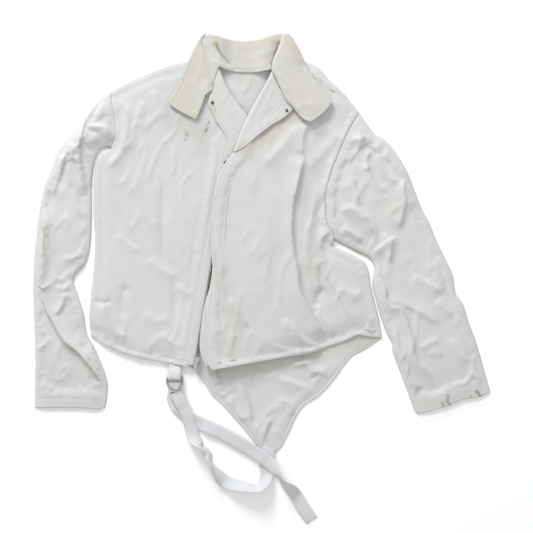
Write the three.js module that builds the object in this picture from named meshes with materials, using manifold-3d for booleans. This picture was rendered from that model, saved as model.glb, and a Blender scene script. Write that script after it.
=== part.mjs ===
// A beekeeper's cotton jacket, laid flat on its back with the collar open: millimetres, +Z up.
// The collar points towards +Y, the tail towards -Y, and the wearer's right side is at -X.
import * as THREE from "three";
import { mergeVertices } from "three/addons/utils/BufferGeometryUtils.js";
import ManifoldModule from "manifold-3d";

const wasm = await ManifoldModule();
wasm.setup();

// Overall sizes of the garment. Each piece below is drafted for the sizes in DRAFT and graded to these.
const CHEST_WIDTH = 455;
const BODY_LENGTH = 582;
const SLEEVE_LENGTH = 610;
const DRAFT = { chest: 455, length: 582, sleeve: 610 };

// Cloth, and how high it lies.
const CLOTH = 1.6;
const FACING = 1.2;
const COLLAR_PLY = 2.2;
const CLEARANCE = 0.3;
const RIGHT_LOFT = 8;
const LEFT_LOFT = 19;
const SIDE_LOFT = 8;
const SEAM_RISE = 55;
const SLEEVE_LOFT = 12;
const CUFF_DEPTH = 17;
const CUFF_PLY = 2.4;
const BODY_SLEEVE_GAP = 0.6;
const CLOTH_STEP = 24;

// The front zip.
const TAPE = 0.6;
const TAPE_WIDTH = 14;
const TAPE_SHOWS = 6;
const CHAIN_WIDTH = 3;
const CHAIN_HEIGHT = 3;
const SLIDER = { length: 14, width: 11, plate: 1.4 };
const PULL = { length: 21, width: 5.5, thick: 1.2, bar: 0.5 };
const BOX_STOP = { length: 8, width: 8, height: 5 };
const PIN = { length: 12, radius: 1 };
const FLY_WIDTH = 28;

// The crotch strap and the two rings that lock it.
const STRAP_WIDTH = 25;
const STRAP = 1.4;
const RING_WIRE = 1.6;
const RING_SIDE = 8;
const RING_SLACK = 1;
const TAB_REACH = 21;

const HOOK_WIRE = 0.8;

// Heights that follow from the layers.
const FIRST_LAYER = CLOTH + CLEARANCE;
const TAPE_LIES = RIGHT_LOFT + CLOTH + CLEARANCE;
const RIGHT_LAPEL_LIES = RIGHT_LOFT + CLOTH + CLEARANCE;
const LEFT_LAPEL_LIES = LEFT_LOFT + CLOTH + CLEARANCE;
const COLLAR_RIGHT = RIGHT_LAPEL_LIES + FACING + 2;
const COLLAR_LEFT = LEFT_LAPEL_LIES + FACING + CLEARANCE;

const MATERIALS = {
  drill: { color: 0xd6dadb, roughness: 0.95, metalness: 0 },
  lining: { color: 0xc9ccca, roughness: 0.95, metalness: 0 },
  tape: { color: 0xb9bcc0, roughness: 0.9, metalness: 0 },
  webbing: { color: 0xc8cacd, roughness: 0.85, metalness: 0 },
  nickel: { color: 0xa9abae, roughness: 0.3, metalness: 1 },
  steel: { color: 0x4d4d50, roughness: 0.45, metalness: 1 },
};

// ---------------------------------------------------------------- the pattern

const grade = ([x, y]) => [(x * CHEST_WIDTH) / DRAFT.chest, (y * BODY_LENGTH) / DRAFT.length];
const graded = (points) => points.map(grade);

// Seam lines that several pieces share, each drawn once.
const RIGHT_SHOULDER = graded([[-118, 413], [-150, 412], [-184, 404], [-220, 390], [-253, 375], [-283, 361]]);
const RIGHT_SIDE = graded([
  [-288, 248], [-304, 242], [-314, 227], [-319, 176], [-320, 115], [-318, 77],
  [-321, 14], [-327, -41], [-329, -83], [-325, -111],
]);
const RIGHT_HEM = graded([[-325, -111], [-289, -132], [-251, -146], [-213, -155], [-175, -162], [-136, -169]]);
const RIGHT_ZIP_LINE = graded([[-136, -169], [-67, 248]]);
const RIGHT_ROLL = graded([[-67, 248], [-49, 273], [-35, 307], [-47, 332], [-61, 352], [-74, 382], [-84, 408]]);
const LEFT_SHOULDER = graded([[171, 333], [158, 351], [142, 367], [129, 378], [108, 402], [78, 415], [53, 413]]);
const LEFT_SIDE_SEAM = graded([[131, 77], [129, 60], [124, 31], [127, -9], [154, -56], [180, -102]]);
const FLAP_FOLD = graded([[-55, 238], [95, -141]]);
const FLAP_EDGE = graded([
  [-95, -174], [-108, -157], [-108, -132], [-106, -98], [-104, -50], [-99, -18], [-94, 20],
  [-96, 60], [-96, 92], [-93, 140], [-87, 178], [-74, 212], [-55, 238],
]);
const LEFT_ROLL = graded([[-55, 238], [-44, 269], [-34, 294], [-18, 326], [7, 370], [19, 396]]);
const NECK_SEAM_RIGHT = graded([[-103, 347], [-93, 366], [-87, 389], [-82, 402]]);
const NECK_SEAM_BACK = graded([[-61, 395], [-32, 393], [-4, 394], [19, 396]]);
const NECK_SEAM_LEFT = graded([[28, 379], [44, 354], [59, 335], [78, 309]]);
const RIGHT_LEAF_HINGE = graded([[-104, 332], [-112, 440]]);
const LEFT_LEAF_HINGE = graded([[87, 303], [48, 442]]);

const BACK_OUTLINE = [
  ...RIGHT_SHOULDER,
  ...RIGHT_SIDE,
  ...RIGHT_HEM.slice(1),
  ...graded([
    [-108, -202], [-95, -223], [-78, -238], [-42, -278], [-17, -309], [2, -335], [23, -335],
    [36, -322], [49, -297], [66, -261], [80, -242], [106, -225], [129, -202], [156, -166],
    [171, -149], [198, -134], [228, -113], [216, -79], [207, -41], [200, -12], [196, 31],
    [170, 46], [133, 62], [131, 77],
  ]),
  ...LEFT_SHOULDER,
  ...graded([[19, 398], [-11, 395], [-42, 395], [-84, 408]]),
];

const RIGHT_FRONT_OUTLINE = [
  ...RIGHT_SHOULDER,
  ...RIGHT_SIDE,
  ...RIGHT_HEM.slice(1),
  ...RIGHT_ROLL,
];

const LEFT_FRONT_OUTLINE = [
  ...LEFT_SHOULDER,
  ...graded([[36, 411]]),
  ...LEFT_ROLL.slice(1).reverse(),
  ...shifted(FLAP_FOLD, CLEARANCE),
  ...graded([[125, -130], [158, -119]]),
  ...LEFT_SIDE_SEAM.slice().reverse(),
];

const FLAP_OUTLINE = [
  ...FLAP_EDGE.slice(0, -1),
  ...shifted(FLAP_FOLD, -CLEARANCE),
  ...graded([[53, -148], [0, -157], [-51, -166]]),
];

const RIGHT_LAPEL_OUTLINE = [
  ...graded([[-68, 252], [-73, 280], [-87, 301], [-96, 326], [-104, 337], [-95, 358], [-87, 385], [-84, 404]]),
  ...RIGHT_ROLL.slice(1, -1).reverse(),
];

const LEFT_LAPEL_OUTLINE = [
  ...graded([[-53, 240], [-32, 250], [-4, 276], [19, 294], [42, 308], [57, 322], [42, 345], [25, 373]]),
  ...LEFT_ROLL.slice(1).reverse(),
];

const COLLAR_OUTLINE = [
  ...NECK_SEAM_RIGHT,
  ...NECK_SEAM_BACK,
  ...NECK_SEAM_LEFT,
  ...shifted(LEFT_LEAF_HINGE, CLEARANCE),
  ...graded([[38, 465], [-2, 457], [-32, 454], [-65, 457], [-104, 465]]),
  ...shifted(RIGHT_LEAF_HINGE, -CLEARANCE).reverse(),
];

const RIGHT_LEAF_OUTLINE = [
  ...shifted(RIGHT_LEAF_HINGE, CLEARANCE),
  ...graded([
    [-122, 449], [-130, 434], [-137, 419], [-148, 396], [-159, 368], [-169, 351], [-177, 335],
    [-162, 319], [-135, 304], [-124, 305],
  ]),
];

const LEFT_LEAF_OUTLINE = [
  ...shifted(LEFT_LEAF_HINGE, -CLEARANCE).reverse(),
  ...graded([[103, 301], [118, 314], [132, 332], [120, 353], [104, 373], [89, 394], [79, 415], [70, 432], [57, 449]]),
];

// Each sleeve is a row of cross lines from its underarm edge to its outer edge.
const RIGHT_SLEEVE_LINES = [
  [[-288, 250], [-283, 361]],
  [[-304, 250], [-300, 350]],
  [[-317, 238], [-330, 321]],
  [[-323, 214], [-360, 280]],
  [[-327, 185], [-400, 215]],
  [[-327, 145], [-421, 150]],
  [[-327, 95], [-429, 95]],
  [[-332, 42], [-433, 42]],
  [[-346, 16], [-435, 12]],
  [[-359, -6], [-436, -12]],
  [[-348, -42], [-436, -46]],
  [[-336, -92], [-434, -92]],
  [[-320, -132], [-433, -130]],
  [[-304, -168], [-432, -166]],
  [[-295, -200], [-432, -200]],
  [[-297, -246], [-433, -248]],
];
const LEFT_SLEEVE_LINES = [
  [[131, 79], [171, 333]],
  [[152, 70], [186, 314]],
  [[176, 60], [220, 272]],
  [[200, 42], [256, 238]],
  [[214, 22], [281, 195]],
  [[212, 2], [305, 132]],
  [[211, -16], [332, 74]],
  [[219, -46], [363, 6]],
  [[231, -80], [380, -44]],
  [[242, -112], [396, -88]],
  [[254, -152], [409, -124]],
  [[272, -202], [424, -176]],
  [[297, -259], [435, -217]],
];

// ---------------------------------------------------------------- small tools

// Moves a straight line sideways, to its left for a positive distance.
function shifted(line, distance) {
  const [[ax, ay], [bx, by]] = line;
  const length = Math.hypot(bx - ax, by - ay);
  const side = [(-(by - ay) / length) * distance, ((bx - ax) / length) * distance];
  return line.map(([x, y]) => [x + side[0], y + side[1]]);
}

function along(line, share) {
  const [[ax, ay], [bx, by]] = line;
  return [ax + (bx - ax) * share, ay + (by - ay) * share];
}

function smooth(t) {
  const s = Math.min(Math.max(t, 0), 1);
  return s * s * (3 - 2 * s);
}

function distanceTo(line, x, y) {
  let nearest = Infinity;
  for (let i = 1; i < line.length; i++) {
    const [ax, ay] = line[i - 1];
    const [dx, dy] = [line[i][0] - ax, line[i][1] - ay];
    const t = Math.min(Math.max(((x - ax) * dx + (y - ay) * dy) / (dx * dx + dy * dy), 0), 1);
    nearest = Math.min(nearest, Math.hypot(x - ax - t * dx, y - ay - t * dy));
  }
  return nearest;
}

function solidOf(geometry) {
  const plain = new THREE.BufferGeometry().setAttribute("position", geometry.getAttribute("position").clone());
  const source = geometry.index ? plain.setIndex(geometry.index).toNonIndexed() : plain;
  const merged = mergeVertices(source, 1e-4);
  return new wasm.Manifold(
    new wasm.Mesh({
      numProp: 3,
      vertProperties: new Float32Array(merged.attributes.position.array),
      triVerts: new Uint32Array(merged.index.array),
    }),
  );
}

function geometryOf(solid) {
  const mesh = solid.getMesh();
  const geometry = new THREE.BufferGeometry();
  geometry.setAttribute("position", new THREE.BufferAttribute(mesh.vertProperties, 3));
  geometry.setIndex(new THREE.BufferAttribute(mesh.triVerts, 1));
  const faceted = geometry.toNonIndexed();
  faceted.computeVertexNormals();
  return faceted;
}

// A closed skin from rings of points: each ring joins the next, and the end rings are joined by capWith.
function geometryFrom(points, faces) {
  const geometry = new THREE.BufferGeometry();
  geometry.setAttribute("position", new THREE.Float32BufferAttribute(points.flat(), 3));
  geometry.setIndex(faces.flat());
  const faceted = geometry.toNonIndexed();
  faceted.computeVertexNormals();
  return faceted;
}

// A block with the outline as its plan, from height low to height high.
function block(outline, low, high) {
  const shape = new THREE.Shape(outline.map(([x, y]) => new THREE.Vector2(x, y)));
  return new THREE.ExtrudeGeometry(shape, { depth: high - low, bevelEnabled: false }).translate(0, 0, low);
}

// A sheet over a rectangle whose underside lies at under(x, y).
function reliefSheet(box, under, thick) {
  const across = Math.ceil((box.max.x - box.min.x) / CLOTH_STEP);
  const down = Math.ceil((box.max.y - box.min.y) / CLOTH_STEP);
  const points = [];
  for (const lift of [0, thick])
    for (let j = 0; j <= down; j++)
      for (let i = 0; i <= across; i++) {
        const x = box.min.x + ((box.max.x - box.min.x) * i) / across;
        const y = box.min.y + ((box.max.y - box.min.y) * j) / down;
        points.push([x, y, under(x, y) + lift]);
      }
  const at = (i, j, layer) => layer * (across + 1) * (down + 1) + j * (across + 1) + i;
  const faces = [];
  const quad = (a, b, c, d) => faces.push([a, b, c], [a, c, d]);
  for (let j = 0; j < down; j++)
    for (let i = 0; i < across; i++) {
      quad(at(i, j, 1), at(i + 1, j, 1), at(i + 1, j + 1, 1), at(i, j + 1, 1));
      quad(at(i, j, 0), at(i, j + 1, 0), at(i + 1, j + 1, 0), at(i + 1, j, 0));
    }
  for (let i = 0; i < across; i++) {
    quad(at(i, 0, 0), at(i + 1, 0, 0), at(i + 1, 0, 1), at(i, 0, 1));
    quad(at(i + 1, down, 0), at(i, down, 0), at(i, down, 1), at(i + 1, down, 1));
  }
  for (let j = 0; j < down; j++) {
    quad(at(0, j + 1, 0), at(0, j, 0), at(0, j, 1), at(0, j + 1, 1));
    quad(at(across, j, 0), at(across, j + 1, 0), at(across, j + 1, 1), at(across, j, 1));
  }
  return geometryFrom(points, faces);
}

// A piece of cloth cut to an outline, lying over what is under it.
function clothPiece(outline, under, thick) {
  const box = new THREE.Box2().setFromPoints(outline.map(([x, y]) => new THREE.Vector2(x, y))).expandByScalar(1);
  const cut = solidOf(block(outline, -10, 80));
  return geometryOf(solidOf(reliefSheet(box, under, thick)).intersect(cut));
}

// A flat tape that follows a line of [x, y, height of its underside].
function ribbon(route, width, thick, steps) {
  const curve = new THREE.CatmullRomCurve3(route.map((p) => new THREE.Vector3(...p)), false, "centripetal");
  const points = [];
  for (let i = 0; i <= steps; i++) {
    const { x, y, z } = curve.getPointAt(i / steps);
    const ahead = curve.getTangentAt(i / steps);
    const flat = Math.hypot(ahead.x, ahead.y);
    const [sx, sy] = [(-ahead.y / flat) * (width / 2), (ahead.x / flat) * (width / 2)];
    points.push([x + sx, y + sy, z], [x - sx, y - sy, z], [x - sx, y - sy, z + thick], [x + sx, y + sy, z + thick]);
  }
  return ringSkin(points, 4, false);
}

// Joins rings of points, `count` to a ring. With a hollow, inner rings follow and the ends are open.
function ringSkin(points, count, hollow) {
  const rings = points.length / count / (hollow ? 2 : 1);
  const inside = rings * count;
  const faces = [];
  const quad = (a, b, c, d) => faces.push([a, b, c], [a, c, d]);
  for (let r = 0; r + 1 < rings; r++)
    for (let k = 0; k < count; k++) {
      const [a, b] = [r * count + k, r * count + ((k + 1) % count)];
      quad(a, b, b + count, a + count);
      if (hollow) quad(inside + b, inside + a, inside + a + count, inside + b + count);
    }
  const last = (rings - 1) * count;
  if (hollow)
    for (let k = 0; k < count; k++) {
      const next = (k + 1) % count;
      quad(next, k, inside + k, inside + next);
      quad(last + k, last + next, inside + last + next, inside + last + k);
    }
  else
    for (let k = 1; k + 1 < count; k++) {
      faces.push([0, k + 1, k]);
      faces.push([last, last + k, last + k + 1]);
    }
  const geometry = geometryFrom(points, faces);
  return solidOf(geometry).volume() < 0 ? geometryFrom(points, faces.map(([a, b, c]) => [a, c, b])) : geometry;
}

// A flattened tube of cloth through cross lines, open at both ends.
function clothTube(lines, loft, wall) {
  const count = 14;
  const outer = [];
  const inner = [];
  for (const [[ix, iy], [ox, oy]] of lines) {
    const margin = wall / Math.hypot(ox - ix, oy - iy);
    for (let k = 0; k < count; k++) {
      const angle = (2 * Math.PI * (k + 0.5)) / count;
      const share = 0.5 - 0.5 * Math.cos(angle);
      const rise = Math.sign(Math.sin(angle)) * Math.abs(Math.sin(angle)) ** 0.6;
      const inset = margin + share * (1 - 2 * margin);
      outer.push([ix + (ox - ix) * share, iy + (oy - iy) * share, (loft / 2) * (1 + rise)]);
      inner.push([ix + (ox - ix) * inset, iy + (oy - iy) * inset, loft / 2 + (loft / 2 - wall) * rise]);
    }
  }
  return ringSkin([...outer, ...inner], count, true);
}

// A wire bent along a curve that closes on itself.
const closedWire = (curve, radius) => new THREE.TubeGeometry(curve, 40, radius, 8, true);

const nodes = new Map();
function addNode(name, geometry, material) {
  const mesh = new THREE.Mesh(geometry, new THREE.MeshStandardMaterial(MATERIALS[material]));
  mesh.name = name;
  nodes.set(name, mesh);
  return mesh;
}

// ---------------------------------------------------------------- the body of the jacket

// Both fronts meet the back at their side and shoulder seams and rise from there.
function rightFrontLies(x, y) {
  const seam = Math.min(distanceTo(RIGHT_SIDE, x, y), distanceTo(RIGHT_SHOULDER, x, y));
  return FIRST_LAYER + (RIGHT_LOFT - FIRST_LAYER) * smooth(seam / SEAM_RISE);
}

function leftFrontLies(x, y) {
  const seam = Math.min(distanceTo(LEFT_SIDE_SEAM, x, y), distanceTo(LEFT_SHOULDER, x, y));
  const nearArm = grade([120, 0])[0];
  const nearFront = grade([30, 0])[0];
  const loft = SIDE_LOFT + (LEFT_LOFT - SIDE_LOFT) * smooth((nearArm - x) / (nearArm - nearFront));
  return FIRST_LAYER + (loft - FIRST_LAYER) * smooth(seam / SEAM_RISE);
}

// The collar lies on the back in the middle and climbs onto both fronts.
function collarLies(x) {
  const toRight = smooth((grade([-50, 0])[0] - x) / grade([32, 0])[0]);
  const toLeft = smooth((x - grade([-30, 0])[0]) / grade([45, 0])[0]);
  return FIRST_LAYER + (COLLAR_RIGHT - FIRST_LAYER) * toRight + (COLLAR_LEFT - FIRST_LAYER) * toLeft;
}

function makeBody() {
  addNode("back_panel", block(BACK_OUTLINE, 0, CLOTH), "drill");
  addNode("right_front", clothPiece(RIGHT_FRONT_OUTLINE, rightFrontLies, CLOTH), "drill");
  addNode("left_front", clothPiece(LEFT_FRONT_OUTLINE, leftFrontLies, CLOTH), "drill");
  addNode("left_front_flap", clothPiece(FLAP_OUTLINE, leftFrontLies, CLOTH), "drill");
  addNode("right_lapel", block(RIGHT_LAPEL_OUTLINE, RIGHT_LAPEL_LIES, RIGHT_LAPEL_LIES + FACING), "lining");
  addNode("left_lapel", block(LEFT_LAPEL_OUTLINE, LEFT_LAPEL_LIES, LEFT_LAPEL_LIES + FACING), "lining");
}

function makeCollar() {
  addNode("collar_band", clothPiece(COLLAR_OUTLINE, collarLies, COLLAR_PLY), "drill");
  addNode("collar_leaf_right", block(RIGHT_LEAF_OUTLINE, COLLAR_RIGHT, COLLAR_RIGHT + COLLAR_PLY), "drill");
  addNode("collar_leaf_left", block(LEFT_LEAF_OUTLINE, COLLAR_LEFT, COLLAR_LEFT + COLLAR_PLY), "drill");
}

// ---------------------------------------------------------------- the sleeves

// Where a sleeve's drafted edge runs at a given y, carried on straight past its last point.
function edgeAt(edge, y) {
  const next = edge.findIndex(([, ey], i) => i > 0 && ey < y);
  const i = next < 0 ? edge.length - 1 : next;
  const [[ax, ay], [bx, by]] = [edge[i - 1], edge[i]];
  return by === ay ? ax : ax + ((bx - ax) * (y - ay)) / (by - ay);
}

// Grades a sleeve with the body. A longer or shorter one follows the same two edges, so it stays clear of the side.
function sleeveLines(lines, gap) {
  const stretch = SLEEVE_LENGTH / DRAFT.sleeve;
  const edges = [0, 1].map((edge) => lines.map((line) => grade(line[edge])));
  const place = (edge) => ([x, y]) => {
    const level = edge[0][1] + (y - edge[0][1]) * stretch;
    return [(stretch === 1 ? x : edgeAt(edge, level)) + gap, level];
  };
  const [inner, outer] = edges.map((edge) => edge.map(place(edge)));
  return inner.map((point, i) => [point, outer[i]]);
}

// A cross line moved towards its neighbour by the same distance along both edges.
function movedTowards(line, neighbour, distance) {
  return [0, 1].map((edge) => {
    const run = Math.hypot(neighbour[edge][0] - line[edge][0], neighbour[edge][1] - line[edge][1]);
    return along([line[edge], neighbour[edge]], distance / run);
  });
}

// Cuts a sleeve across at the given lines. Its last CUFF_DEPTH is the cuff, hemmed up inside.
function makeSleeve(side, lines, parts) {
  const [before, end] = lines.slice(-2);
  const whole = [...lines.slice(0, -1), movedTowards(end, before, CUFF_DEPTH + CLEARANCE)];
  parts.forEach(([name, from], i) => {
    const to = i + 1 < parts.length ? parts[i + 1][1] : whole.length - 1;
    const start = i ? movedTowards(whole[from], whole[from + 1], CLEARANCE) : whole[from];
    const part = [start, ...whole.slice(from + 1, to + 1)];
    addNode(`${side}_${name}`, clothTube(part, SLEEVE_LOFT, CLOTH), "drill");
  });
  addNode(`${side}_cuff`, clothTube([movedTowards(end, before, CUFF_DEPTH), end], SLEEVE_LOFT, CUFF_PLY), "drill");
}

function makeSleeves() {
  const right = sleeveLines(RIGHT_SLEEVE_LINES, -BODY_SLEEVE_GAP);
  makeSleeve("right", right, [["sleeve_head", 0], ["upper_sleeve", 4], ["lower_sleeve", 9]]);
  makeSleeve("left", sleeveLines(LEFT_SLEEVE_LINES, BODY_SLEEVE_GAP), [["upper_sleeve", 0], ["lower_sleeve", 6]]);
}

// ---------------------------------------------------------------- the zip

// A frame on the right front's zip line: x across it to the wearer's left, y up it, z up.
const zipAngle = Math.atan2(
  RIGHT_ZIP_LINE[1][1] - RIGHT_ZIP_LINE[0][1],
  RIGHT_ZIP_LINE[1][0] - RIGHT_ZIP_LINE[0][0],
);
const zipLength = Math.hypot(
  RIGHT_ZIP_LINE[1][0] - RIGHT_ZIP_LINE[0][0],
  RIGHT_ZIP_LINE[1][1] - RIGHT_ZIP_LINE[0][1],
);
function onZip(geometry) {
  const [x, y] = RIGHT_ZIP_LINE[0];
  return geometry.rotateZ(zipAngle - Math.PI / 2).translate(x, y, 0);
}

function rectangle(x0, x1, y0, y1) {
  return [[x0, y0], [x1, y0], [x1, y1], [x0, y1]];
}

const CHAIN_FROM = TAPE_SHOWS + CLEARANCE;
const CHAIN_LOW = TAPE_LIES + TAPE / 2 - CHAIN_HEIGHT / 2;
const SLIDER_LOW = CHAIN_LOW - CLEARANCE - SLIDER.plate;
const SLIDER_TOP = CHAIN_LOW + CHAIN_HEIGHT + CLEARANCE + SLIDER.plate;
const PULL_AXIS = SLIDER_TOP + CLEARANCE + PULL.thick / 2;
const SLIDER_START = BOX_STOP.length + 2;

function makeRightZip() {
  const chainEnd = zipLength - 12;
  const tape = block(rectangle(TAPE_SHOWS - TAPE_WIDTH, TAPE_SHOWS, 4, chainEnd), TAPE_LIES, TAPE_LIES + TAPE);
  addNode("zip_tape_right", onZip(tape), "tape");
  const chain = rectangle(CHAIN_FROM, CHAIN_FROM + CHAIN_WIDTH, BOX_STOP.length, chainEnd);
  addNode("zip_teeth_right", onZip(block(chain, CHAIN_LOW, CHAIN_LOW + CHAIN_HEIGHT)), "nickel");
  const boxMiddle = CHAIN_FROM + CHAIN_WIDTH / 2;
  const boxPlan = rectangle(
    TAPE_SHOWS + CLEARANCE, boxMiddle + BOX_STOP.width / 2, 0, BOX_STOP.length - CLEARANCE,
  );
  const boxLow = TAPE_LIES + TAPE / 2 - BOX_STOP.height / 2;
  addNode("zip_box", onZip(block(boxPlan, boxLow, boxLow + BOX_STOP.height)), "nickel");
}

// The slider is two plates over and under the teeth, joined by a wall beyond them, with a saddle on top.
function makeSlider() {
  const middle = CHAIN_FROM + CHAIN_WIDTH / 2;
  const wallFrom = CHAIN_FROM + CHAIN_WIDTH + CLEARANCE;
  const [near, far] = [middle - SLIDER.width / 2 + 1, middle + SLIDER.width / 2 + 1];
  const [low, high] = [SLIDER_START, SLIDER_START + SLIDER.length];
  const taper = 2.5;
  const plan = [[near + taper, low], [far - taper, low], [far, low + 6], [far, high - 2], [near, high - 2], [near, low + 6]];
  const plates = solidOf(block(plan, SLIDER_LOW, SLIDER_TOP));
  const slot = solidOf(block(rectangle(near - 1, wallFrom, low - 1, high + 1), SLIDER_LOW + SLIDER.plate, SLIDER_TOP - SLIDER.plate));
  return addNode("zip_slider", onZip(geometryOf(plates.subtract(slot))), "nickel");
}

// The pull is a flat tab that lies on the slider's lower half and turns over its upper end.
function makePull() {
  const middle = CHAIN_FROM + CHAIN_WIDTH / 2 + 1;
  const axis = SLIDER_START + SLIDER.length / 2;
  const half = PULL.width / 2;
  const plan = [
    [middle - half, axis + PULL.bar], [middle - half, axis - PULL.length + half],
    [middle - half / 2, axis - PULL.length], [middle + half / 2, axis - PULL.length],
    [middle + half, axis - PULL.length + half], [middle + half, axis + PULL.bar],
  ];
  const tab = block(plan, PULL_AXIS - PULL.thick / 2, PULL_AXIS + PULL.thick / 2);
  return addNode("zip_pull", onZip(tab), "nickel");
}

// The left half of the zip is sewn under the flap, along the inner edge of its fly facing.
function makeLeftZip() {
  const edge = FLAP_EDGE.slice(2, -2);
  const strip = (from, to) => [
    ...edge.map(([x, y]) => [x + from, y]),
    ...edge.map(([x, y]) => [x + to, y]).reverse(),
  ];
  const under = (drop) => (x, y) => leftFrontLies(x, y) - drop;
  const flyDrop = FACING + CLEARANCE;
  const tapeDrop = flyDrop + TAPE + CLEARANCE;
  const chainTo = FLY_WIDTH - TAPE_SHOWS;
  addNode("fly_facing", clothPiece(strip(2, FLY_WIDTH), under(flyDrop), FACING), "lining");
  addNode("zip_tape_left", clothPiece(strip(chainTo, chainTo + 10), under(tapeDrop), TAPE), "tape");
  const chainDrop = tapeDrop + CHAIN_WIDTH / 2 - TAPE / 2;
  const chain = strip(chainTo - CHAIN_WIDTH - CLEARANCE, chainTo - CLEARANCE);
  addNode("zip_teeth_left", clothPiece(chain, under(chainDrop), CHAIN_WIDTH - 1), "nickel");
  const [x, y] = [edge[0][0] + chainTo - CLEARANCE - CHAIN_WIDTH / 2, edge[0][1] - CLEARANCE];
  const pin = new THREE.CylinderGeometry(PIN.radius, PIN.radius, PIN.length, 10);
  const pinHeight = LEFT_LOFT - chainDrop + PIN.radius;
  addNode("zip_pin", pin.translate(x, y - PIN.length / 2, pinHeight), "nickel");
}

// ---------------------------------------------------------------- the neck hook and eye

function hookLoop(x, y, z, radius) {
  const loop = new THREE.TorusGeometry(radius, HOOK_WIRE, 8, 20);
  return loop.translate(x, y, z + HOOK_WIRE);
}

function makeNeckFastening() {
  const [ex, ey] = grade([-94, 334]);
  addNode("neck_eye", hookLoop(ex, ey, RIGHT_LAPEL_LIES + FACING + CLEARANCE, 2.6), "steel");
  const [hx, hy] = grade([47, 319]);
  addNode("neck_hook", hookLoop(hx, hy, LEFT_LAPEL_LIES + FACING + CLEARANCE, 2.2), "steel");
}

// ---------------------------------------------------------------- rings and strap

const RING_HALF = STRAP_WIDTH / 2 + RING_SLACK / 2 + RING_WIRE;
const RING_AT = grade([-166, -188]);
const ARC_REACH = RING_SIDE + RING_HALF;
const LOWER_BAR = 2 * CLEARANCE + STRAP + RING_WIRE;
const BACK_LAYER = LOWER_BAR + RING_WIRE + CLEARANCE;
const UPPER_BAR = BACK_LAYER + STRAP + CLEARANCE + RING_WIRE;
const BIGHT_TURN = RING_SIDE + 3;
const BIGHT_END = ARC_REACH + 5.5;
const RUN_START = BIGHT_END + 0.8;

// One D: a straight bar, two short sides and a half-round.
function ringCurve() {
  const v = (x, y) => new THREE.Vector3(x, y, 0);
  const path = new THREE.CurvePath();
  const half = RING_HALF;
  const corner = 2;
  path.add(new THREE.LineCurve3(v(half - corner, 0), v(corner - half, 0)));
  path.add(new THREE.QuadraticBezierCurve3(v(corner - half, 0), v(-half, 0), v(-half, -corner)));
  path.add(new THREE.LineCurve3(v(-half, -corner), v(-half, -RING_SIDE)));
  const steps = 10;
  const onArc = (i) => {
    const angle = Math.PI + (Math.PI * i) / steps;
    return v(half * Math.cos(angle), -RING_SIDE + half * Math.sin(angle));
  };
  for (let i = 0; i < steps; i++) path.add(new THREE.LineCurve3(onArc(i), onArc(i + 1)));
  path.add(new THREE.LineCurve3(v(half, -RING_SIDE), v(half, -corner)));
  path.add(new THREE.QuadraticBezierCurve3(v(half, -corner), v(half, 0), v(half - corner, 0)));
  return path;
}

function makeRings() {
  const ring = (height) => closedWire(ringCurve(), RING_WIRE).translate(RING_AT[0], RING_AT[1], height);
  addNode("ring_lower", ring(LOWER_BAR), "nickel");
  addNode("ring_upper", ring(UPPER_BAR), "nickel");
}

// A strip bent to a side profile of [run, height] and as wide as the strap, run measured towards -Y.
function bentStrip(profile, name, material, width) {
  const shape = new THREE.Shape(profile.map(([run, height]) => new THREE.Vector2(run, height)));
  const strip = new THREE.ExtrudeGeometry(shape, { depth: width, bevelEnabled: false, curveSegments: 6 });
  strip.translate(0, 0, -width / 2).rotateX(Math.PI / 2).rotateZ(-Math.PI / 2);
  return addNode(name, strip.translate(RING_AT[0], RING_AT[1], 0), material);
}

// The outline of a strip that runs out at one height, turns up round a bend and comes back at another.
function hairpin(start, turn, low, high, thick) {
  const radius = (high + thick - low) / 2;
  const middle = low + radius;
  const half = (r, from, to) => {
    const steps = 8;
    return Array.from({ length: steps + 1 }, (_, i) => {
      const angle = from + ((to - from) * i) / steps;
      return [turn + r * Math.cos(angle), middle + r * Math.sin(angle)];
    });
  };
  const outward = Math.sign(turn - start);
  const mirror = ([run, height]) => [outward > 0 ? run : 2 * turn - run, height];
  return [
    [start, low],
    ...half(radius, -Math.PI / 2, Math.PI / 2).map(mirror),
    [start, high + thick],
    [start, high],
    ...half(radius - thick, Math.PI / 2, -Math.PI / 2).map(mirror),
    [start, low + thick],
  ];
}

function makeTab() {
  const innerLow = LOWER_BAR - RING_WIRE - CLEARANCE;
  const innerHigh = UPPER_BAR + RING_WIRE + CLEARANCE;
  const low = innerLow - STRAP;
  bentStrip(hairpin(-TAB_REACH, 0, low, innerHigh, STRAP), "ring_tab", "webbing", STRAP_WIDTH - 2);
}

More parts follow.
